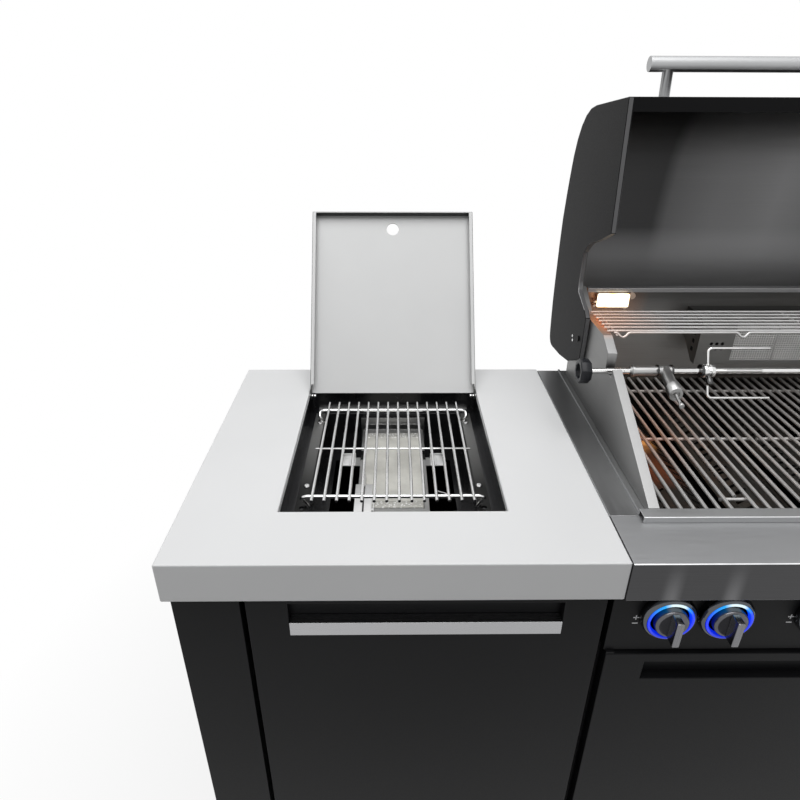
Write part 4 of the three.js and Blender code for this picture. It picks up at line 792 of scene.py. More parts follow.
def rod_row(name, count, first, step, run, radius, finish, sides=14):
    """A row of rods as a mesh, from at() millimetres."""
    return grown(name, rods_tree, Count=count, First=tuple(at(*first)), Step=tuple(Vector(step) * MM),
                 Run=tuple(Vector(run) * MM), Radius=radius * MM, Sides=sides, Material=finishes()[finish])


def joined(name, meshes, finish, *rest):
    """Several meshes as one piece of bright steel. The rest are a CAD node, a body and an angle."""
    shape = bmesh.new()
    for mesh in meshes:
        shape.from_mesh(mesh)
        bpy.data.meshes.remove(mesh)
    return settle(name, as_mesh(name, shape, False), finish, "bright_steel", *rest)


def screw_head(name, radius, height):
    """A low domed screw head with a cross recess, standing on the XY plane, to be copied."""
    shape = bmesh.new()
    sides, slot_half, arm = 16, 0.13, 0.42
    turns = [2 * math.pi * step / sides for step in range(sides)]

    def loop(radii, z):
        return [shape.verts.new((r * math.cos(turn), r * math.sin(turn), z)) for r, turn in zip(radii, turns)]

    loops = [loop([r] * sides, z) for r, z in (
        (radius, 0.0), (radius, height * 0.35), (radius * 0.82, height * 0.8), (radius * 0.5, height))]
    star = [radius * (slot_half if step % 4 else arm) for step in range(sides)]
    cross = loop(star, height)
    low = [shape.verts.new((v.co.x * 0.9, v.co.y * 0.9, height * 0.45)) for v in cross]
    bridged(shape, [*loops, cross, low])
    shape.faces.new(low)
    for vert in shape.verts:
        vert.co *= MM
    return placed(name, as_mesh(name, shape))


def screws(name, radius, height, places, slot, body="island"):
    """Screw heads at (point in mm, facing) places, as one piece."""
    seed = bpy.data.meshes.new(f"{name}_places")
    seed.from_pydata([at(*point) for point, _ in places], [], [])
    facing = seed.attributes.new("facing", "FLOAT_VECTOR", "POINT")
    for index, (_, direction) in enumerate(places):
        facing.data[index].vector = direction
    head = screw_head(f"{name}_part", radius, height)
    mesh = grown(name, copies_tree, seed, Part=head, Material=finishes()["bolt"])
    settle(name, mesh, None, slot, body=body)
    bpy.data.objects.remove(head)


# What a user may change


class IslandSizes(bpy.types.PropertyGroup):
    """Sizes of the small parts that a user may change."""

    fold_radius: bpy.props.FloatProperty(
        name="Fold Radius", description="Outer radius of the worktop's folds", default=0.0022,
        min=0.0003, max=0.006, unit="LENGTH", subtype="DISTANCE")
    grate_rod_radius: bpy.props.FloatProperty(
        name="Grate Rod Radius", description="Radius of the cooking grate's rods", default=0.0028,
        min=0.002, max=0.005, unit="LENGTH", subtype="DISTANCE")
    sear_wire_radius: bpy.props.FloatProperty(
        name="Sear Wire Radius", description="Radius of the sear grate's wires", default=0.0024,
        min=0.0015, max=0.004, unit="LENGTH", subtype="DISTANCE")
    rack_wire_radius: bpy.props.FloatProperty(
        name="Rack Wire Radius", description="Radius of the warming rack's rods", default=0.0021,
        min=0.0015, max=0.004, unit="LENGTH", subtype="DISTANCE")
    lamp_glow: bpy.props.FloatProperty(
        name="Lamp Glow", description="Brightness of the two lamps under the hood", default=3.2,
        min=0.0, max=30.0)
    knob_glow: bpy.props.FloatProperty(
        name="Knob Glow", description="Brightness of the lit rings round the knobs", default=1.05,
        min=0.0, max=20.0)


class IslandColours(bpy.types.PropertyGroup):
    """Colours of the coated sheets."""

    worktop: bpy.props.FloatVectorProperty(
        name="Worktop", description="Coat of the worktop and the lid", default=(0.735, 0.74, 0.745),
        min=0.0, max=1.0, size=3, subtype="COLOR")
    cabinet: bpy.props.FloatVectorProperty(
        name="Cabinet", description="Coat of the cabinets, doors, drawer and panel",
        default=(0.0072, 0.0073, 0.008), min=0.0, max=1.0, size=3, subtype="COLOR")
    hood: bpy.props.FloatVectorProperty(
        name="Hood", description="Enamel of the hood", default=(0.0085, 0.0085, 0.009),
        min=0.0, max=1.0, size=3, subtype="COLOR")


# The pieces, one operator for each group


class ISLAND_OT_worktop(bpy.types.Operator):
    """Builds the side worktop and the sear burner's lid"""

    bl_idname = "island.worktop"
    bl_label = "Worktop and Lid"

    def execute(self, context):
        sizes = context.scene.island_sizes
        softened("side_worktop", "worktop", "worktop_paint", sizes.fold_radius / MM, 4)
        opened = math.radians(124)
        outside = Vector((0, math.sin(opened), math.cos(opened)))
        smallest_panel = 0.002

        def side_of(face):
            """0 outer coat, 1 dark edge, 2 pale underside, a little darker than the coat as painted shade."""
            if abs(face.normal.dot(outside)) < 0.9 or face.calc_area() < smallest_panel:
                return 1
            return 2 if face.normal.y < 0 else 0

        softened("sear_lid", ("worktop", "lid_edge", "lid_inner"), "worktop_paint", 0.9, 2, painted=side_of)
        for side in SIDES:
            softened(f"lid_pin_{side}", "bolt", "bright_steel", 0.4, 2, 0.5)
        return {"FINISHED"}


class ISLAND_OT_sear(bpy.types.Operator):
    """Builds the sear burner's well, ledges, grate, tile and igniter"""

    bl_idname = "island.sear"
    bl_label = "Sear Burner"

    def execute(self, context):
        sizes = context.scene.island_sizes
        softened("burner_well", "well", "black_steel", 1.2)
        for side in SIDES:
            softened(f"well_ledge_{side}", "ledge", "brushed_steel", 0.6, 2, 1.5)
        self.grate(sizes.sear_wire_radius / MM)
        self.burner()
        self.igniter()
        self.clips()
        self.well_back()
        return {"FINISHED"}

    def grate(self, radius):
        """Wires from front to back on two bent bars with feet, and a thin bar under their middle."""
        low, high = box_mm("sear_grate")
        count, pitch = 14, 18.6
        reach = (count - 1) / 2 * pitch
        top = high.z - radius
        wires = rod_row("sear_wires", count, (-reach, low.y, top), (pitch, 0, 0), (0, high.y - low.y, 0),
                        radius, "wire")
        across = top - radius - 2.0
        bars = []
        for y, foot_back in ((169, 6), (440, -9)):
            end = [(129, y + foot_back, low.z), (138, y + foot_back, across - 9), (138, y, across - 3),
                   (131, y, across)]
            corners = [(-x, *rest) for x, *rest in end] + end[::-1]
            bars.append((swept, bent_path(corners, 4), 3.0, 14))
        bars.append((swept, [(side * (reach + 9), 300, top - radius) for side in (-1, 1)], 1.9))
        bars = as_mesh("sear_bars", shape_of(*bars))
        joined("sear_grate_wires", [wires, bars], "wire", "sear_grate", "island", 50)

    def burner(self):
        """The housing with its side slots, the tile and the cast strips at the tile's ends."""
        housing = softened("sear_burner", "burner_box", "brushed_steel", 1.0, 2)
        low, high = box_mm("sear_tile")
        slots = flanks(high.x + 4.5, high.x + 9.5)
        pierced(housing, "burner_side_slots", *(
            (cuboid, (x0, high.y - 92, high.z - 9), (x1, high.y - 62, high.z + 4)) for x0, x1 in slots))
        strip, gap = 17.6, 0.4
        inset = strip + gap
        face = (rounded_block, (low.x, low.y + inset, low.z), (high.x, high.y - inset, high.z), 0.6)
        built("sear_tile_face", "tile", "ceramic", face, node="sear_tile")
        built("tile_end_strips", "tile_frame", "ceramic", *(
            (rounded_block, (low.x, y, low.z), (high.x, y + strip, high.z + 0.6), 1.2, 3)
            for y in (low.y, high.y - strip)))

    def igniter(self):
        """Two bright plates with a gap over the burner's near left corner, and the electrode's wire."""
        low, high = box_mm("sear_igniter")
        plate_back = high.y - 32
        built(
            "igniter_plates", "clip", "bright_steel",
            (rounded_block, low, (low.x + 13, plate_back, low.z + 1.8), 0.5),
            (rounded_block, (low.x + 15.5, low.y, low.z), (high.x, plate_back, low.z + 1.8), 0.5),
            (rounded_block, (high.x + 2, low.y, low.z), (high.x + 3.6, high.y - 26, low.z + 4), 0.4),
            (rounded_block, (high.x - 1, low.y + 6, low.z), (high.x + 2.6, low.y + 12, low.z + 1.2), 0.3),
            (turned, [(0, 0), (2.2, 0), (2.5, 1), (2.5, 26), (1.1, 28), (1.1, 38), (0, 38)],
             (low.x + 14, high.y - 38, low.z + 3), ALONG_Y, 12), node="sear_igniter")
        # Painted shade: a black strip fills the gap between the plates.
        near, far = (low.x + 11.5, low.y + 1, low.z - 0.6), (low.x + 17, plate_back - 1, low.z + 0.6)
        built("igniter_gap", "frame_black", "black_steel", (rounded_block, near, far, 0.3))
        path = bent_path([(70, 262, -66), (72, 240, -63), (88, 232, -62), (92, 222, -64), (112, 232, -64),
                          (131, 236, -66)], 7)
        built("electrode_wire", "wire", "bright_steel", (swept, path, 1.0, 8), angle=60)

    def clips(self):
        """A bright angle with a rib at each side of the burner."""
        reach = min(box_mm("sear_burner")[1].x, 63.0)
        parts = []
        for (x0, x1), (rib0, rib1) in zip(flanks(reach + 3.5, reach + 27), flanks(reach + 12, reach + 15)):
            parts += [(rounded_block, (x0, 323, -69.4), (x1, 350, -67.4), 0.7),
                      (rounded_block, (x0, 349, -78), (x1, 351.4, -60), 0.7),
                      (rounded_block, (rib0, 324, -68), (rib1, 350, -65.6), 0.8)]
        built("burner_clips", "clip", "brushed_steel", *parts)

    def well_back(self):
        """The strip behind the grate, the ribbed plate behind the burner, and the ledges' screws."""
        floor = box_mm("burner_well")[0].z
        back = box_mm("well_ledge_left")[1].y
        built("well_rear_strip", "clip", "brushed_steel",
              (rounded_block, (-146, back + 18, -44), (146, back + 27.2, -41.4), 0.6))
        built("well_rear_plate", "burner_box", "brushed_steel",
              (rounded_block, (-62, back - 1.5, floor + 3), (62, back + 1, -52), 0.6),
              *((rounded_block, (-56, back - 3, z - 1.2), (56, back - 1, z + 1.2), 0.8) for z in (-66, -78)))
        places = [((x, y, -41.6), UP) for x in (-138, 138) for y in (225, 429)]
        screws("well_screws", 5.0, 2.8, places, "bright_steel")


class ISLAND_OT_grill_shell(bpy.types.Operator):
    """Builds the fascia, deck, side walls, back wall and firebox"""

    bl_idname = "island.grill_shell"
    bl_label = "Grill Body"

    def execute(self, context):
        fascia_low, fascia_high = box_mm("front_fascia")
        wall_front, rail_face = box_mm("back_wall")[0].y + 11, box_mm("back_wall")[1].z - 10
        box_top = box_mm("firebox")[1].z
        rail_front, rail_back = 84, 101

        def turns_up(face):
            return 0.1 < face.normal.z < 0.999

        def fascia(face):
            """0 top, 1 front and ends, darkened as painted shade, 2 the fold between them, a painted
            highlight.
            """
            centre = centre_mm(face)
            if face.normal.y < -0.85 and centre.y < fascia_low.y + 1 or abs(face.normal.x) > 0.3:
                return 1
            folded = centre.y < fascia_low.y + 2.4 and centre.z > fascia_high.z - 2.4
            return 2 if folded and turns_up(face) else 0

        def wall(face):
            """0 the wall's plates, 1 its folded top and front, painted lighter where light falls on them."""
            upward = face.normal.z > 0.3 or face.normal.y < -0.3
            return 1 if upward and abs(face.normal.x) < 0.5 and centre_mm(face).z > 12 else 0

        def back(face):
            """0 the wall, 1 the rail along its top."""
            centre = centre_mm(face)
            return 1 if centre.z > rail_face and (centre.y < wall_front or face.normal.z > 0.5) else 0

        def firebox(face):
            """0 rail, 1 inside, 2 the rail's fold, a painted highlight."""
            centre = centre_mm(face)
            if centre.y > rail_back or centre.z < 0:
                return 1
            return 2 if centre.z > box_top - 1.8 and centre.y < rail_front and turns_up(face) else 0

        softened("front_fascia", ("fascia", "apron", "edge"), "brushed_steel", 1.6, 4, painted=fascia)
        softened("grill_deck", "deck", "brushed_steel", 0.8, 2, 2.5)
        softened("drip_rails", "frame_black", "black_steel", 0.8, 2)
        for side in SIDES:
            softened(f"side_wall_{side}", ("wall", "flange"), "brushed_steel", 0.7, 2, painted=wall)
        softened("back_wall", ("back", "back_rail"), "brushed_steel", 0.7, painted=back)
        softened("firebox", ("rail", "firebox", "edge"), "dark_steel", 0.9, painted=firebox)
        return {"FINISHED"}


class ISLAND_OT_grates(bpy.types.Operator):
    """Builds the cooking grates, flame tamers and burners"""

    bl_idname = "island.grates"
    bl_label = "Grates and Burners"

    def execute(self, context):
        sizes = context.scene.island_sizes
        for side, count in (("left", 13), ("middle", 11), ("right", 13)):
            self.section(f"cooking_grate_{side}", count, sizes.grate_rod_radius / MM)
        for number in range(1, 6):
            self.tamer(f"flame_tamer_{number}")
        softened("burner_train", "burner", "dark_steel", 0.6, 2, 3.0)
        return {"FINISHED"}

    def tamer(self, node):
        """A folded tamer sheet with a row of short slots down each of its slopes."""
        piece = softened(node, "tamer", "dark_steel", 0.6, 2, 3.0)
        low, high = box_mm(node)
        middle = middle_mm(node)[0]
        rows, first, pitch, apart = 22, low.y + 24, 19.2, 30
        pierced(piece, f"{node}_slots", *(
            (cuboid, (x - 7, y, low.z - 4), (x + 7, y + 6, high.z + 4))
            for y in (first + pitch * row for row in range(rows)) for x in (middle - apart, middle + apart)))

    def section(self, node, count, radius):
        """Rods from front to back on two cross rods. The middle one ends short, on a bar of its own."""
        low, high = box_mm(node)
        first, top, under = low.x + radius, high.z - radius, low.z + radius
        pitch = (high.x - low.x - 2 * radius) / (count - 1)
        middle = (count - 1) // 2
        short = low.y + 46
        x = first + middle * pitch
        step, full = (pitch, 0, 0), (0, high.y - low.y, 0)
        parts = [rod_row(node, *row, radius, "grate", 12) for row in (
            (middle, (first, low.y, top), step, full),
            (count - middle - 1, (first + (middle + 1) * pitch, low.y, top), step, full),
            (1, (x, short, top), step, (0, high.y - short, 0)),
            (2, (low.x, low.y + 217, under), (0, 183, 0), (high.x - low.x, 0, 0)),
            (1, (x - pitch - radius, short, under), ALONG_Y, (2 * pitch + 2 * radius, 0, 0)))]
        joined(f"{node}_rods", parts, "grate", node, "island", 50)


class ISLAND_OT_rear(bpy.types.Operator):
    """Builds the rear burner, lamps and warming rack"""

    bl_idname = "island.rear"
    bl_label = "Rear Burner, Lamps and Rack"

    def execute(self, context):
        sizes = context.scene.island_sizes
        self.housing()
        self.mesh()
        for side, inner in (("left", 1), ("right", -1)):
            self.lamp(f"lamp_{side}", inner)
        self.rack(sizes.rack_wire_radius / MM)
        return {"FINISHED"}

    def housing(self):
        """The burner's folded box, with six round holes near each end and four slots in each cheek."""
        piece = softened("rear_burner", "rear_box", "dark_steel", 0.8, 2)
        low, high = box_mm("rear_burner")
        middle = middle_mm("rear_burner")[0]
        hole = [(0, -3), (3.2, -3), (3.2, 5), (0, 5)]
        outermost, pitch = 121.5, 10.3
        cutters = []
        for side, cheek in ((-1, low.x), (1, high.x)):
            cutters += [(turned, hole, (middle + side * (outermost - pitch * column), low.y, z), ALONG_Y, 12)
                        for column in range(3) for z in (97.5, 87.5)]
            cutters += [(cuboid, (cheek - 3, low.y + 16, z), (cheek + 3, low.y + 25, z + 8))
                        for z in (76, 92, 108, 124)]
        pierced(piece, "rear_burner_holes", *cutters)

    def mesh(self):
        """The burner's woven mesh, and the tile and post behind it."""
        low, high = box_mm("rear_burner_mesh")
        wide, tall = high.x - low.x, high.z - low.z
        radius, uprights, levels = 0.5, 36, 18
        y = low.y + radius
        wires = [
            rod_row("mesh_uprights", uprights, (low.x + radius, y, low.z),
                    ((wide - 2 * radius) / (uprights - 1), 0, 0), (0, 0, tall), radius, "mesh_wire", 6),
            rod_row("mesh_levels", levels, (low.x, y + 0.7, low.z + radius),
                    (0, 0, (tall - 2 * radius) / (levels - 1)), (wide, 0, 0), radius, "mesh_wire", 6)]
        joined("rear_mesh_wires", wires, "mesh_wire", "rear_burner_mesh")
        middle = middle_mm("rear_burner_mesh")[0]
        built("rear_burner_tile", "rear_backing", "ceramic",
              (rounded_block, (low.x, y + 1.6, low.z), (high.x, y + 3.4, high.z), 0.4),
              (rounded_block, (middle - 2.5, y - 0.4, low.z), (middle + 2.5, y + 1.8, high.z), 0.5))

    def lamp(self, node, inner):
        """A lit glass in a shallow tray with a lug and a screw at its inner end, and its terminals."""
        low, high = box_mm(node)
        start, end = (low.x, high.x)[::inner]
        lug, screw = [(0, 0), (6, 0), (6, 12), (0, 12)], [(0, 0), (4, 0), (4, 3), (0, 3)]
        terminals = ((turned, [(0, 0), (2.4, 0), (2.8, 0.8), (2.8, 9), (0, 9)],
                      (start - inner * 2.5, low.y + 6, z), ALONG_Y, 12) for z in (low.z + 4, low.z + 12))
        built(
            f"{node}_tray", "lamp_tray", "lamp_glass",
            (rounded_block, (low.x + 1, low.y + 6, low.z), (high.x - 1, high.y, high.z), 3.0, 4),
            (turned, lug, (end + inner * 4, low.y + 3, high.z - 3), ALONG_Y, 20),
            (turned, screw, (end - inner * 3.5, low.y + 12, low.z - 1), ALONG_Y, 16),
            *terminals, node=node)
        x0, x1 = sorted((start + inner * 0.5, end - inner * 1.5))
        built(f"{node}_glass", "lamp", "lamp_glass",
              (rounded_block, (x0, low.y, low.z + 2.5), (x1, low.y + 7, high.z + 1.5), 2.6, 4))

    def rack(self, radius):
        """Long rods on three cross rods, and a front rod with four bends for hooks."""
        low, high = box_mm("warming_rack")
        middle = middle_mm("warming_rack")[0]
        top = high.z - radius
        count, pitch = 7, 16.0
        first = high.y - radius - (count - 1) * pitch
        rods = rod_row("rack_rods", count, (low.x + 5, first, top), (0, pitch, 0),
                       (high.x - low.x - 10, 0, 0), radius, "rack")
        front = first - 8.5
        cross = (low.x + 19, middle, high.x - 18.6)
        ends = (front - radius, high.y - radius)
        bars = [(swept, [(x, y, top - 4) for y in ends], radius, 14) for x in cross]
        corners = [(cross[0] - 4, front, top)]
        hooks = (middle + offset for offset in (-331, -127, 127, 331))
        for x in hooks:
            corners += [(x - 10, front, top), (x - 3, front - 3, top - 7), (x + 3, front - 3, top - 7),
                        (x + 10, front, top)]
        corners.append((cross[2] + 4, front, top))
        bars = as_mesh("rack_bars", shape_of(*bars, (swept, bent_path(corners, 3.5), radius, 14)))
        joined("warming_rack_wires", [rods, bars], "rack", "warming_rack", "island", 50)


class ISLAND_OT_spit(bpy.types.Operator):
    """Builds the spit with its handle, counterweight, forks and motor"""

    bl_idname = "island.spit"
    bl_label = "Spit"

    def execute(self, context):
        _, y, z = middle_mm("spit_rod")
        self.rod(y, z)
        self.handle(y, z)
        self.weight(y, z)
        for side, direction in (("left", 1), ("right", -1)):
            self.fork(y, z, f"spit_fork_{side}", direction)
        self.motor(z)
        return {"FINISHED"}

    def rod(self, y, z):
        """The rod with an eased start, a tapered end and two rings."""
        low, high = box_mm("spit_rod")
        start, long = low.x, high.x - low.x
        ring = [(4.8, 0), (5.6, 0.5), (5.6, 2.0), (4.8, 2.5)]
        bar = [(0, 0), (4.4, 0), (5, 0.8), (5, long - 3), (3.6, long), (0, long)]
        built("spit_rod_turned", "spit", "bright_steel", (turned, bar, (start, y, z), ALONG_X, 28),
              *((turned, ring, (start + along, y, z), ALONG_X, 28) for along in (66, 86)),
              node="spit_rod", body="spit")

    def handle(self, y, z):
        """Eight-sided grip with eased corners and a hollow in its outer face."""
        low, high = box_mm("spit_handle")
        long = high.x - low.x
        radius = min((high.z - low.z) / 2 / math.cos(math.pi / 8), 20.6)

        def ease_ridges(shape):
            ridges = [edge for edge in shape.edges
                      if abs((edge.verts[0].co - edge.verts[1].co).normalized().x) > 0.95
                      and edge.calc_length() > 5 * MM]
            bmesh.ops.bevel(shape, geom=ridges, offset=0.7 * MM, segments=2, profile=0.5, affect="EDGES")

        profile = [(0, 6), (radius * 0.6, 6), (radius * 0.62, 5), (radius * 0.64, 0.8), (radius * 0.68, 0),
                   (radius * 0.92, 0), (radius, 1.8), (radius, long - 2.4), (radius * 0.9, long), (8, long),
                   (7.4, long + 0.1), (0, long + 0.1)]
        built("spit_handle_grip", "plastic", "black_plastic",
              (turned, profile, (low.x, y, z), ALONG_X, 8, math.pi / 8), (ease_ridges,),
              node="spit_handle", body="spit")

    def weight(self, y, z):
        """The sleeve on the rod with its arm, weight, flared ring and nut, and the dark clamp rings."""
        low, high = box_mm("spit_counterweight")
        long = high.x - low.x
        hang = math.radians(196.7)
        arm = (0, math.cos(hang), math.sin(hang))
        arm_x = high.x - 12
        hanging = [(0, 3), (9.2, 3), (9.6, 4), (9.6, 37), (10, 39), (12, 41), (12, 54.5), (10.8, 57), (6, 57),
                   (5.4, 54.5), (2.5, 54.5), (2.5, 78.5), (4.1, 79), (4.4, 80), (4.4, 83), (3.6, 84), (0, 84)]
        built("spit_weight", "weight", "brushed_steel",
              (turned, [(5.2, 0), (7.4, 0), (8, 0.8), (8, long - 0.8), (7.4, long), (5.2, long)],
               (low.x, y, z), ALONG_X),
              (turned, [(7.8, 0), (9.6, 0.6), (9.6, 4.4), (7.8, 5)], (low.x + 2, y, z), ALONG_X),
              (turned, hanging, (arm_x, y, z), arm, 28), node="spit_counterweight", body="spit")
        ring = [(7.6, 0), (10.4, 0.3), (10.4, 2), (7.6, 2.3)]
        lean = math.radians(28)
        outward = Vector((0, -math.cos(lean), math.sin(lean)))
        built("spit_weight_clamp", "spit_dark", "brushed_steel",
              *((turned, ring, (x, y, z), ALONG_X) for x in (arm_x - 14, arm_x + 9.6)),
              (turned, [(0, 0), (2.6, 0), (2.9, 0.5), (2.9, 3), (0, 3)],
               Vector((low.x + 44, y, z)) + outward * 6.2, outward, 16), body="spit")

    def fork(self, y, z, node, direction):
        """A collar with two bent tines, a tongue along the rod, and a dark ring and thumb screw."""
        low, high = box_mm(node)
        start = (low.x, high.x)[::direction][0]
        root = start + direction * 9
        along = (direction, 0, 0)

        def out(turn, distance, past=0):
            angle = math.radians(turn)
            return (root + direction * past, y + math.cos(angle) * distance, z + math.sin(angle) * distance)

        collar = [(5.2, 0), (10.4, 0), (11, 0.7), (11, 5.6), (10.2, 6.2), (9.6, 6.6), (9.6, 11), (10.2, 11.6),
                  (11, 12.2), (11, 17.3), (10.4, 18), (5.2, 18)]
        tines = ((swept, bent_path([out(turn, 8), out(turn, reach), out(turn, reach, 102)], 8, 8), 2.2, 14)
                 for turn, reach in ((65, 37.2), (245, 44.6)))
        tongue = (swept, [out(155, 8.5), out(155, 8.5, 84)], 2.2, 14)
        built(f"{node}_wires", "spit", "bright_steel", (turned, collar, (start, y, z), along), *tines,
              tongue, node=node, body="spit", angle=50)
        outward = (0, math.cos(math.radians(225)), math.sin(math.radians(225)))
        thumb = [(0, 9), (2.4, 9), (2.4, 13), (4.6, 13.6), (5.4, 15), (5.4, 21.5), (4.6, 24), (3, 25),
                 (0, 25)]
        built(f"{node}_screw", "spit_dark", "bright_steel",
              (turned, [(5.2, 0), (10.6, 0), (11.2, 0.7), (11.2, 3.4), (10.6, 4), (5.2, 4)],
               (start - direction * 4.4, y, z), along),
              (turned, thumb, (root, y, z), outward, 20), body="spit")

    def motor(self, z):
        """The motor's folded bracket and rounded case with cooling slots and screws."""
        piece = softened("spit_motor", "plastic", "black_steel", 1.6, 4)
        low, high = box_mm("spit_motor")
        lowest, pitch, tall = z - 26, 7, 2.6
        pierced(piece, "motor_slots", *(
            (cuboid, (high.x - 2.5, low.y + 16, level), (high.x + 2, high.y - 16, level + tall))
            for level in (lowest + pitch * row for row in range(6))))
        places = [((high.x - 0.1, low.y + near, z + rise), ALONG_X) for near in (7, 73) for rise in (-33, 43)]
        screws("motor_screws", 3.2, 1.8, places, "black_steel")


class ISLAND_OT_hood(bpy.types.Operator):
    """Builds the hood with its lining, handle and bolts"""

    bl_idname = "island.hood"
    bl_label = "Hood"

    def execute(self, context):
        low, high = box_mm("hood_shell")
        hollow = Vector((0, 520, 200))
        strip = 7

        def side_of(face):
            """0 outside, 1 lining, 2 flange edges of the end plates, lighter than the enamel as a painted
            highlight.
            """
            centre = centre_mm(face)
            inset = min(abs(centre.x - low.x), abs(centre.x - high.x))
            if abs(face.normal.x) > 0.9:
                return 0 if inset < 1.0 else 2
            if 1.5 < inset < 26 and face.normal.y < -0.2 and face.calc_area() > 1e-5:
                return 2
            outward = Vector((0, centre.y, centre.z)) - hollow
            return 0 if outward.dot(face.normal) > 0 else 1

        softened("hood_shell", ("hood", "liner", "hood_edge"), "hood_paint", 0.9, painted=side_of,
                 splits=(low.x + strip, high.x - strip))
        softened("hood_handle", "rail", "brushed_steel", 0.6, 2)
        for side in SIDES:
            softened(f"hood_bolt_{side}", "hood", "black_steel", 0.8, deeper=1.0)
        places = [((x, y, z), (side, 0, 0)) for y, z in ((514.7, 100.8), (510.9, 93.5))
                  for x, side in ((low.x - 0.05, -1), (high.x + 0.05, 1))]
        screws("hood_screws", 2.7, 1.4, places, "bright_steel", "hood")
        return {"FINISHED"}


class ISLAND_OT_knobs(bpy.types.Operator):
    """Builds the control panel and its lit knobs"""

    bl_idname = "island.knobs"
    bl_label = "Panel and Knobs"

    def execute(self, context):
        face_y = box_mm("control_panel")[0].y + 15
        self.panel(face_y)
        for node in KNOBS:
            self.knob(node, face_y)
        self.marks(face_y)
        return {"FINISHED"}

    def panel(self, face_y):
        """The folded panel, with its CAD rims taken off and their round openings closed."""
        shape = merged_copy("control_panel")
        rims = [face for face in shape.faces if face.calc_center_median().y < at(0, face_y - 0.4, 0).y]
        bmesh.ops.delete(shape, geom=rims, context="FACES")
        bmesh.ops.delete(shape, geom=[edge for edge in shape.edges if not edge.link_faces], context="EDGES")
        bmesh.ops.holes_fill(shape, edges=[edge for edge in shape.edges if edge.is_boundary], sides=0)
        bmesh.ops.recalc_face_normals(shape, faces=shape.faces)
        ease_edges(shape, 0.8, 2, 3.0)
        even_normals(from_bmesh("control_panel_finished", shape, "cabinet", "cabinet_paint", "control_panel"))

    def knob(self, node, face_y):
        """A fixed bezel with its lit ring, and the turning body with its grip bar."""
        x, _, z = middle_mm(node)
        rim = [(25.0, -0.5), (36.8, -0.5), (37.5, 0.6), (37.2, 8.2), (36.2, 11.2), (34.4, 13.6), (32.6, 14.6),
               (31.6, 14.2), (31.0, 12.8), (25.4, 8.4), (25.0, 7.6), (25.0, -0.5)]
        light = [(26.4, 9.6), (31.0, 12.8), (31.6, 14.2), (31.3, 15.3), (30.4, 16.0), (29.2, 16.0),
                 (28.0, 15.0), (27.0, 13.2), (26.4, 9.6)]
        base = 1.5
        profile = [(0, -16), (4, -16), (4, base), (22.2, base), (23, base + 0.8), (23, base + 16.8),
                   (22.3, base + 18.6), (20.4, base + 20), (18.6, base + 20.2), (17.8, base + 19.8),
                   (0, base + 19.8)]

        def about(profile, sides):
            return turned, profile, (x, face_y, z), (0, -1, 0), sides

        built(f"{node}_bezel", "bezel", "knob_metal", about(rim, 56), angle=50)
        built(f"{node}_light", "ring", "knob_metal", about(light, 56), angle=50)
        built(f"{node}_body", "knob", "knob_metal", about(profile, 48), node=node, body=node, angle=40)
        top = box_mm(node)[0].y
        grip = (rounded_block, (x - 5, top, z - 21), (x + 5, face_y - base - 19, z + 21), 1.8, 4)
        built(f"{node}_grip", "grip", "knob_metal", grip, body=node, angle=40)

    def marks(self, face_y):
        """A plus and a minus printed left of each knob."""
        arm, thin = 3.9, 0.75
        bars = []
        for node in KNOBS:
            x, _, z = middle_mm(node)
            left = x - 40.6
            bars += [(cuboid, (left - wide, face_y - 0.25, z + drop - tall),
                      (left + wide, face_y + 0.1, z + drop + tall))
                     for wide, tall, drop in ((arm, thin, -7), (thin, arm, -7), (arm, thin, -17.5))]
        built("panel_marks", "mark", "cabinet_paint", *bars)


class ISLAND_OT_cabinets(bpy.types.Operator):
    """Builds the cabinets, drawer, doors, drip tray and base frames"""

    bl_idname = "island.cabinets"
    bl_label = "Cabinets"

    def execute(self, context):
        for nodes, *looks in (
                (("side_cabinet", "grill_cabinet"), "cabinet", "cabinet_paint", 0.8, 2),
                (("drawer_front", "door_left", "door_right"), "cabinet", "cabinet_paint", 1.4, 3),
                (("drawer_grip",), "grip_strip", "brushed_steel", 0.6, 2, 2.0),
                (("side_base_frame", "grill_base_frame"), "frame_black", "black_steel", 1.0, 2),
                (("drawer_tray", "drip_tray"), "tray", "dark_steel", 0.7, 2)):
            for node in nodes:
                softened(node, *looks)
        return {"FINISHED"}


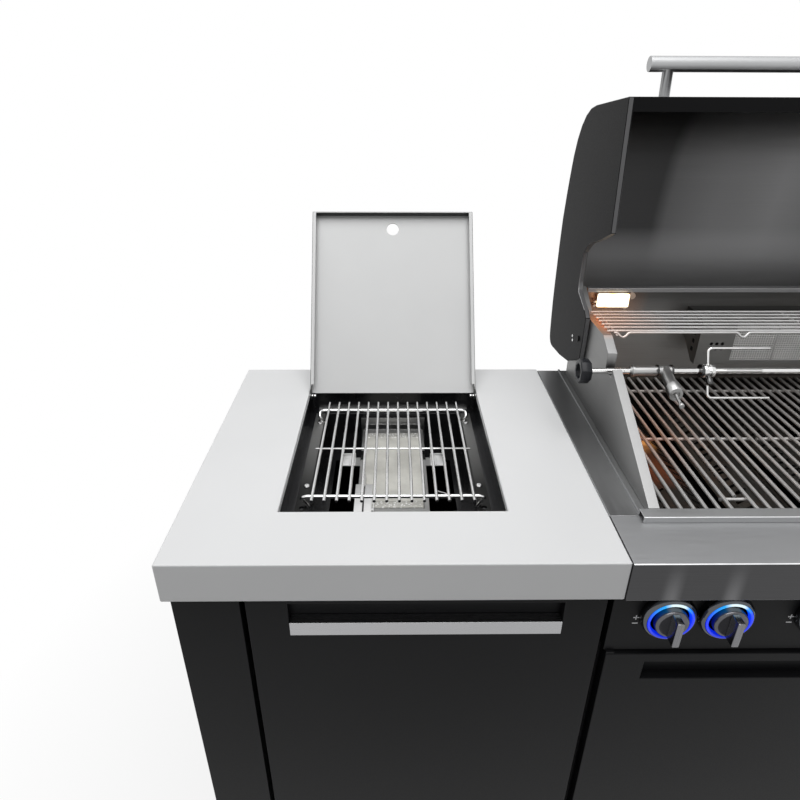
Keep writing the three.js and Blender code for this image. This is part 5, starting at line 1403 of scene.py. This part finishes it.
class ISLAND_OT_stage(bpy.types.Operator):
    """Builds the floor, the light and the camera"""

    bl_idname = "island.stage"
    bl_label = "Stage"

    def execute(self, context):
        bpy.context.scene.view_settings.view_transform = "Standard"
        self.floor()
        self.world()
        self.lamp()
        self.camera()
        return {"FINISHED"}

    def seen_directly(self, tree):
        """1 for camera, glossy and transmission rays, otherwise 0."""
        rays = new_node(tree, "ShaderNodeLightPath").outputs
        first = new_node(tree, "ShaderNodeMath", {0: rays["Is Camera Ray"], 1: rays["Is Glossy Ray"]},
                         operation="MAXIMUM")
        return new_node(tree, "ShaderNodeMath", {0: first, 1: rays["Is Transmission Ray"]},
                        operation="MAXIMUM")

    def floor(self):
        """A pale floor that turns white away from the island."""
        size = 40.0
        mesh = bpy.data.meshes.new("floor")
        mesh.from_pydata([(-size, -size, 0), (size, -size, 0), (size, size, 0), (-size, size, 0)],
                         [], [(0, 1, 2, 3)])
        placed("floor", mesh)
        made = Finish("floor_pale", (0.32, 0.32, 0.32), 0.9)
        gap = made.add("ShaderNodeVectorMath", {0: made.place}, operation="LENGTH").outputs["Value"]
        share = made.times(self.seen_directly(made.tree), made.spread(gap, 0.75, 1.5, 0.86, 1.0))
        glow = made.add("ShaderNodeEmission", {"Color": (1, 1, 1)})
        blend = made.add("ShaderNodeMixShader", {"Fac": share, 1: made.shader, 2: glow})
        feed(made.tree, made.tree.nodes["Material Output"].inputs["Surface"], blend)
        mesh.materials.append(made.material)

    def world(self):
        """White where it is seen directly, and otherwise a soft sky that is brighter above."""
        world = bpy.data.worlds.new("soft_studio")
        bpy.context.scene.world = world
        world.use_nodes = True
        tree = world.node_tree
        ray = new_node(tree, "ShaderNodeTexCoord").outputs["Generated"]
        height = new_node(tree, "ShaderNodeSeparateXYZ", {"Vector": ray}).outputs["Z"]
        sky = new_node(tree, "ShaderNodeMapRange", {
            "Value": height, "From Min": 0.0, "From Max": 0.9, "To Min": 0.12, "To Max": 0.52})
        level = new_node(tree, "ShaderNodeMapRange", {
            "Value": self.seen_directly(tree), "To Min": sky, "To Max": 1.0})
        background = tree.nodes["Background"].inputs
        feed(tree, background["Color"], (1, 1, 1))
        feed(tree, background["Strength"], level)

    def lamp(self):
        light = bpy.data.lights.new("overhead_softbox", "AREA")
        light.shape = "SQUARE"
        light.size = 2.6
        light.energy = 74
        lamp = placed("overhead_softbox", light)
        lamp.location = (-0.4, -0.7, 3.9)
        lamp.rotation_euler = (math.radians(14), 0, 0)

    def camera(self):
        data = bpy.data.cameras.new("camera")
        data.sensor_width = 36
        data.lens = 27.576
        data.clip_start = 0.02
        data.clip_end = 100
        camera = placed("camera", data)
        pitch, yaw, roll = (math.radians(value) for value in (27.5766, 0.7201, 0.2395))
        ahead = Vector((math.sin(yaw) * math.cos(pitch), math.cos(yaw) * math.cos(pitch), -math.sin(pitch)))
        across = Vector((math.cos(yaw), -math.sin(yaw), 0))
        above = across.cross(ahead)
        right = across * math.cos(roll) + above * math.sin(roll)
        up = above * math.cos(roll) - across * math.sin(roll)
        place = Matrix((right, up, -ahead)).transposed().to_4x4()
        eye = at(0.4, -580.9, 534.5)
        place.translation = eye
        camera.matrix_world = place
        bpy.context.scene.camera = camera


class ISLAND_PT_panel(bpy.types.Panel):
    """Lists the island's sizes, colours and pieces"""

    bl_idname = "ISLAND_PT_panel"
    bl_label = "Kitchen Island"
    bl_space_type = "VIEW_3D"
    bl_region_type = "UI"
    bl_category = "Kitchen Island"

    def draw(self, context):
        column = self.layout.column()
        for group in (context.scene.island_sizes, context.scene.island_colours):
            for name in group.__annotations__:
                column.prop(group, name)
        for operator in OPERATORS:
            column.operator(operator.bl_idname)


OPERATORS = (
    ISLAND_OT_worktop,
    ISLAND_OT_sear,
    ISLAND_OT_grill_shell,
    ISLAND_OT_grates,
    ISLAND_OT_rear,
    ISLAND_OT_spit,
    ISLAND_OT_hood,
    ISLAND_OT_knobs,
    ISLAND_OT_cabinets,
    ISLAND_OT_stage,
)
CLASSES = (IslandSizes, IslandColours, *OPERATORS, ISLAND_PT_panel)


def register():
    for entry in CLASSES:
        bpy.utils.register_class(entry)
    bpy.types.Scene.island_sizes = bpy.props.PointerProperty(type=IslandSizes)
    bpy.types.Scene.island_colours = bpy.props.PointerProperty(type=IslandColours)


def unregister():
    del bpy.types.Scene.island_colours
    del bpy.types.Scene.island_sizes
    for entry in reversed(CLASSES):
        bpy.utils.unregister_class(entry)


def main():
    register()
    for operator in OPERATORS:
        group, name = operator.bl_idname.split(".")
        getattr(getattr(bpy.ops, group), name)()


if __name__ == "__main__":
    main()
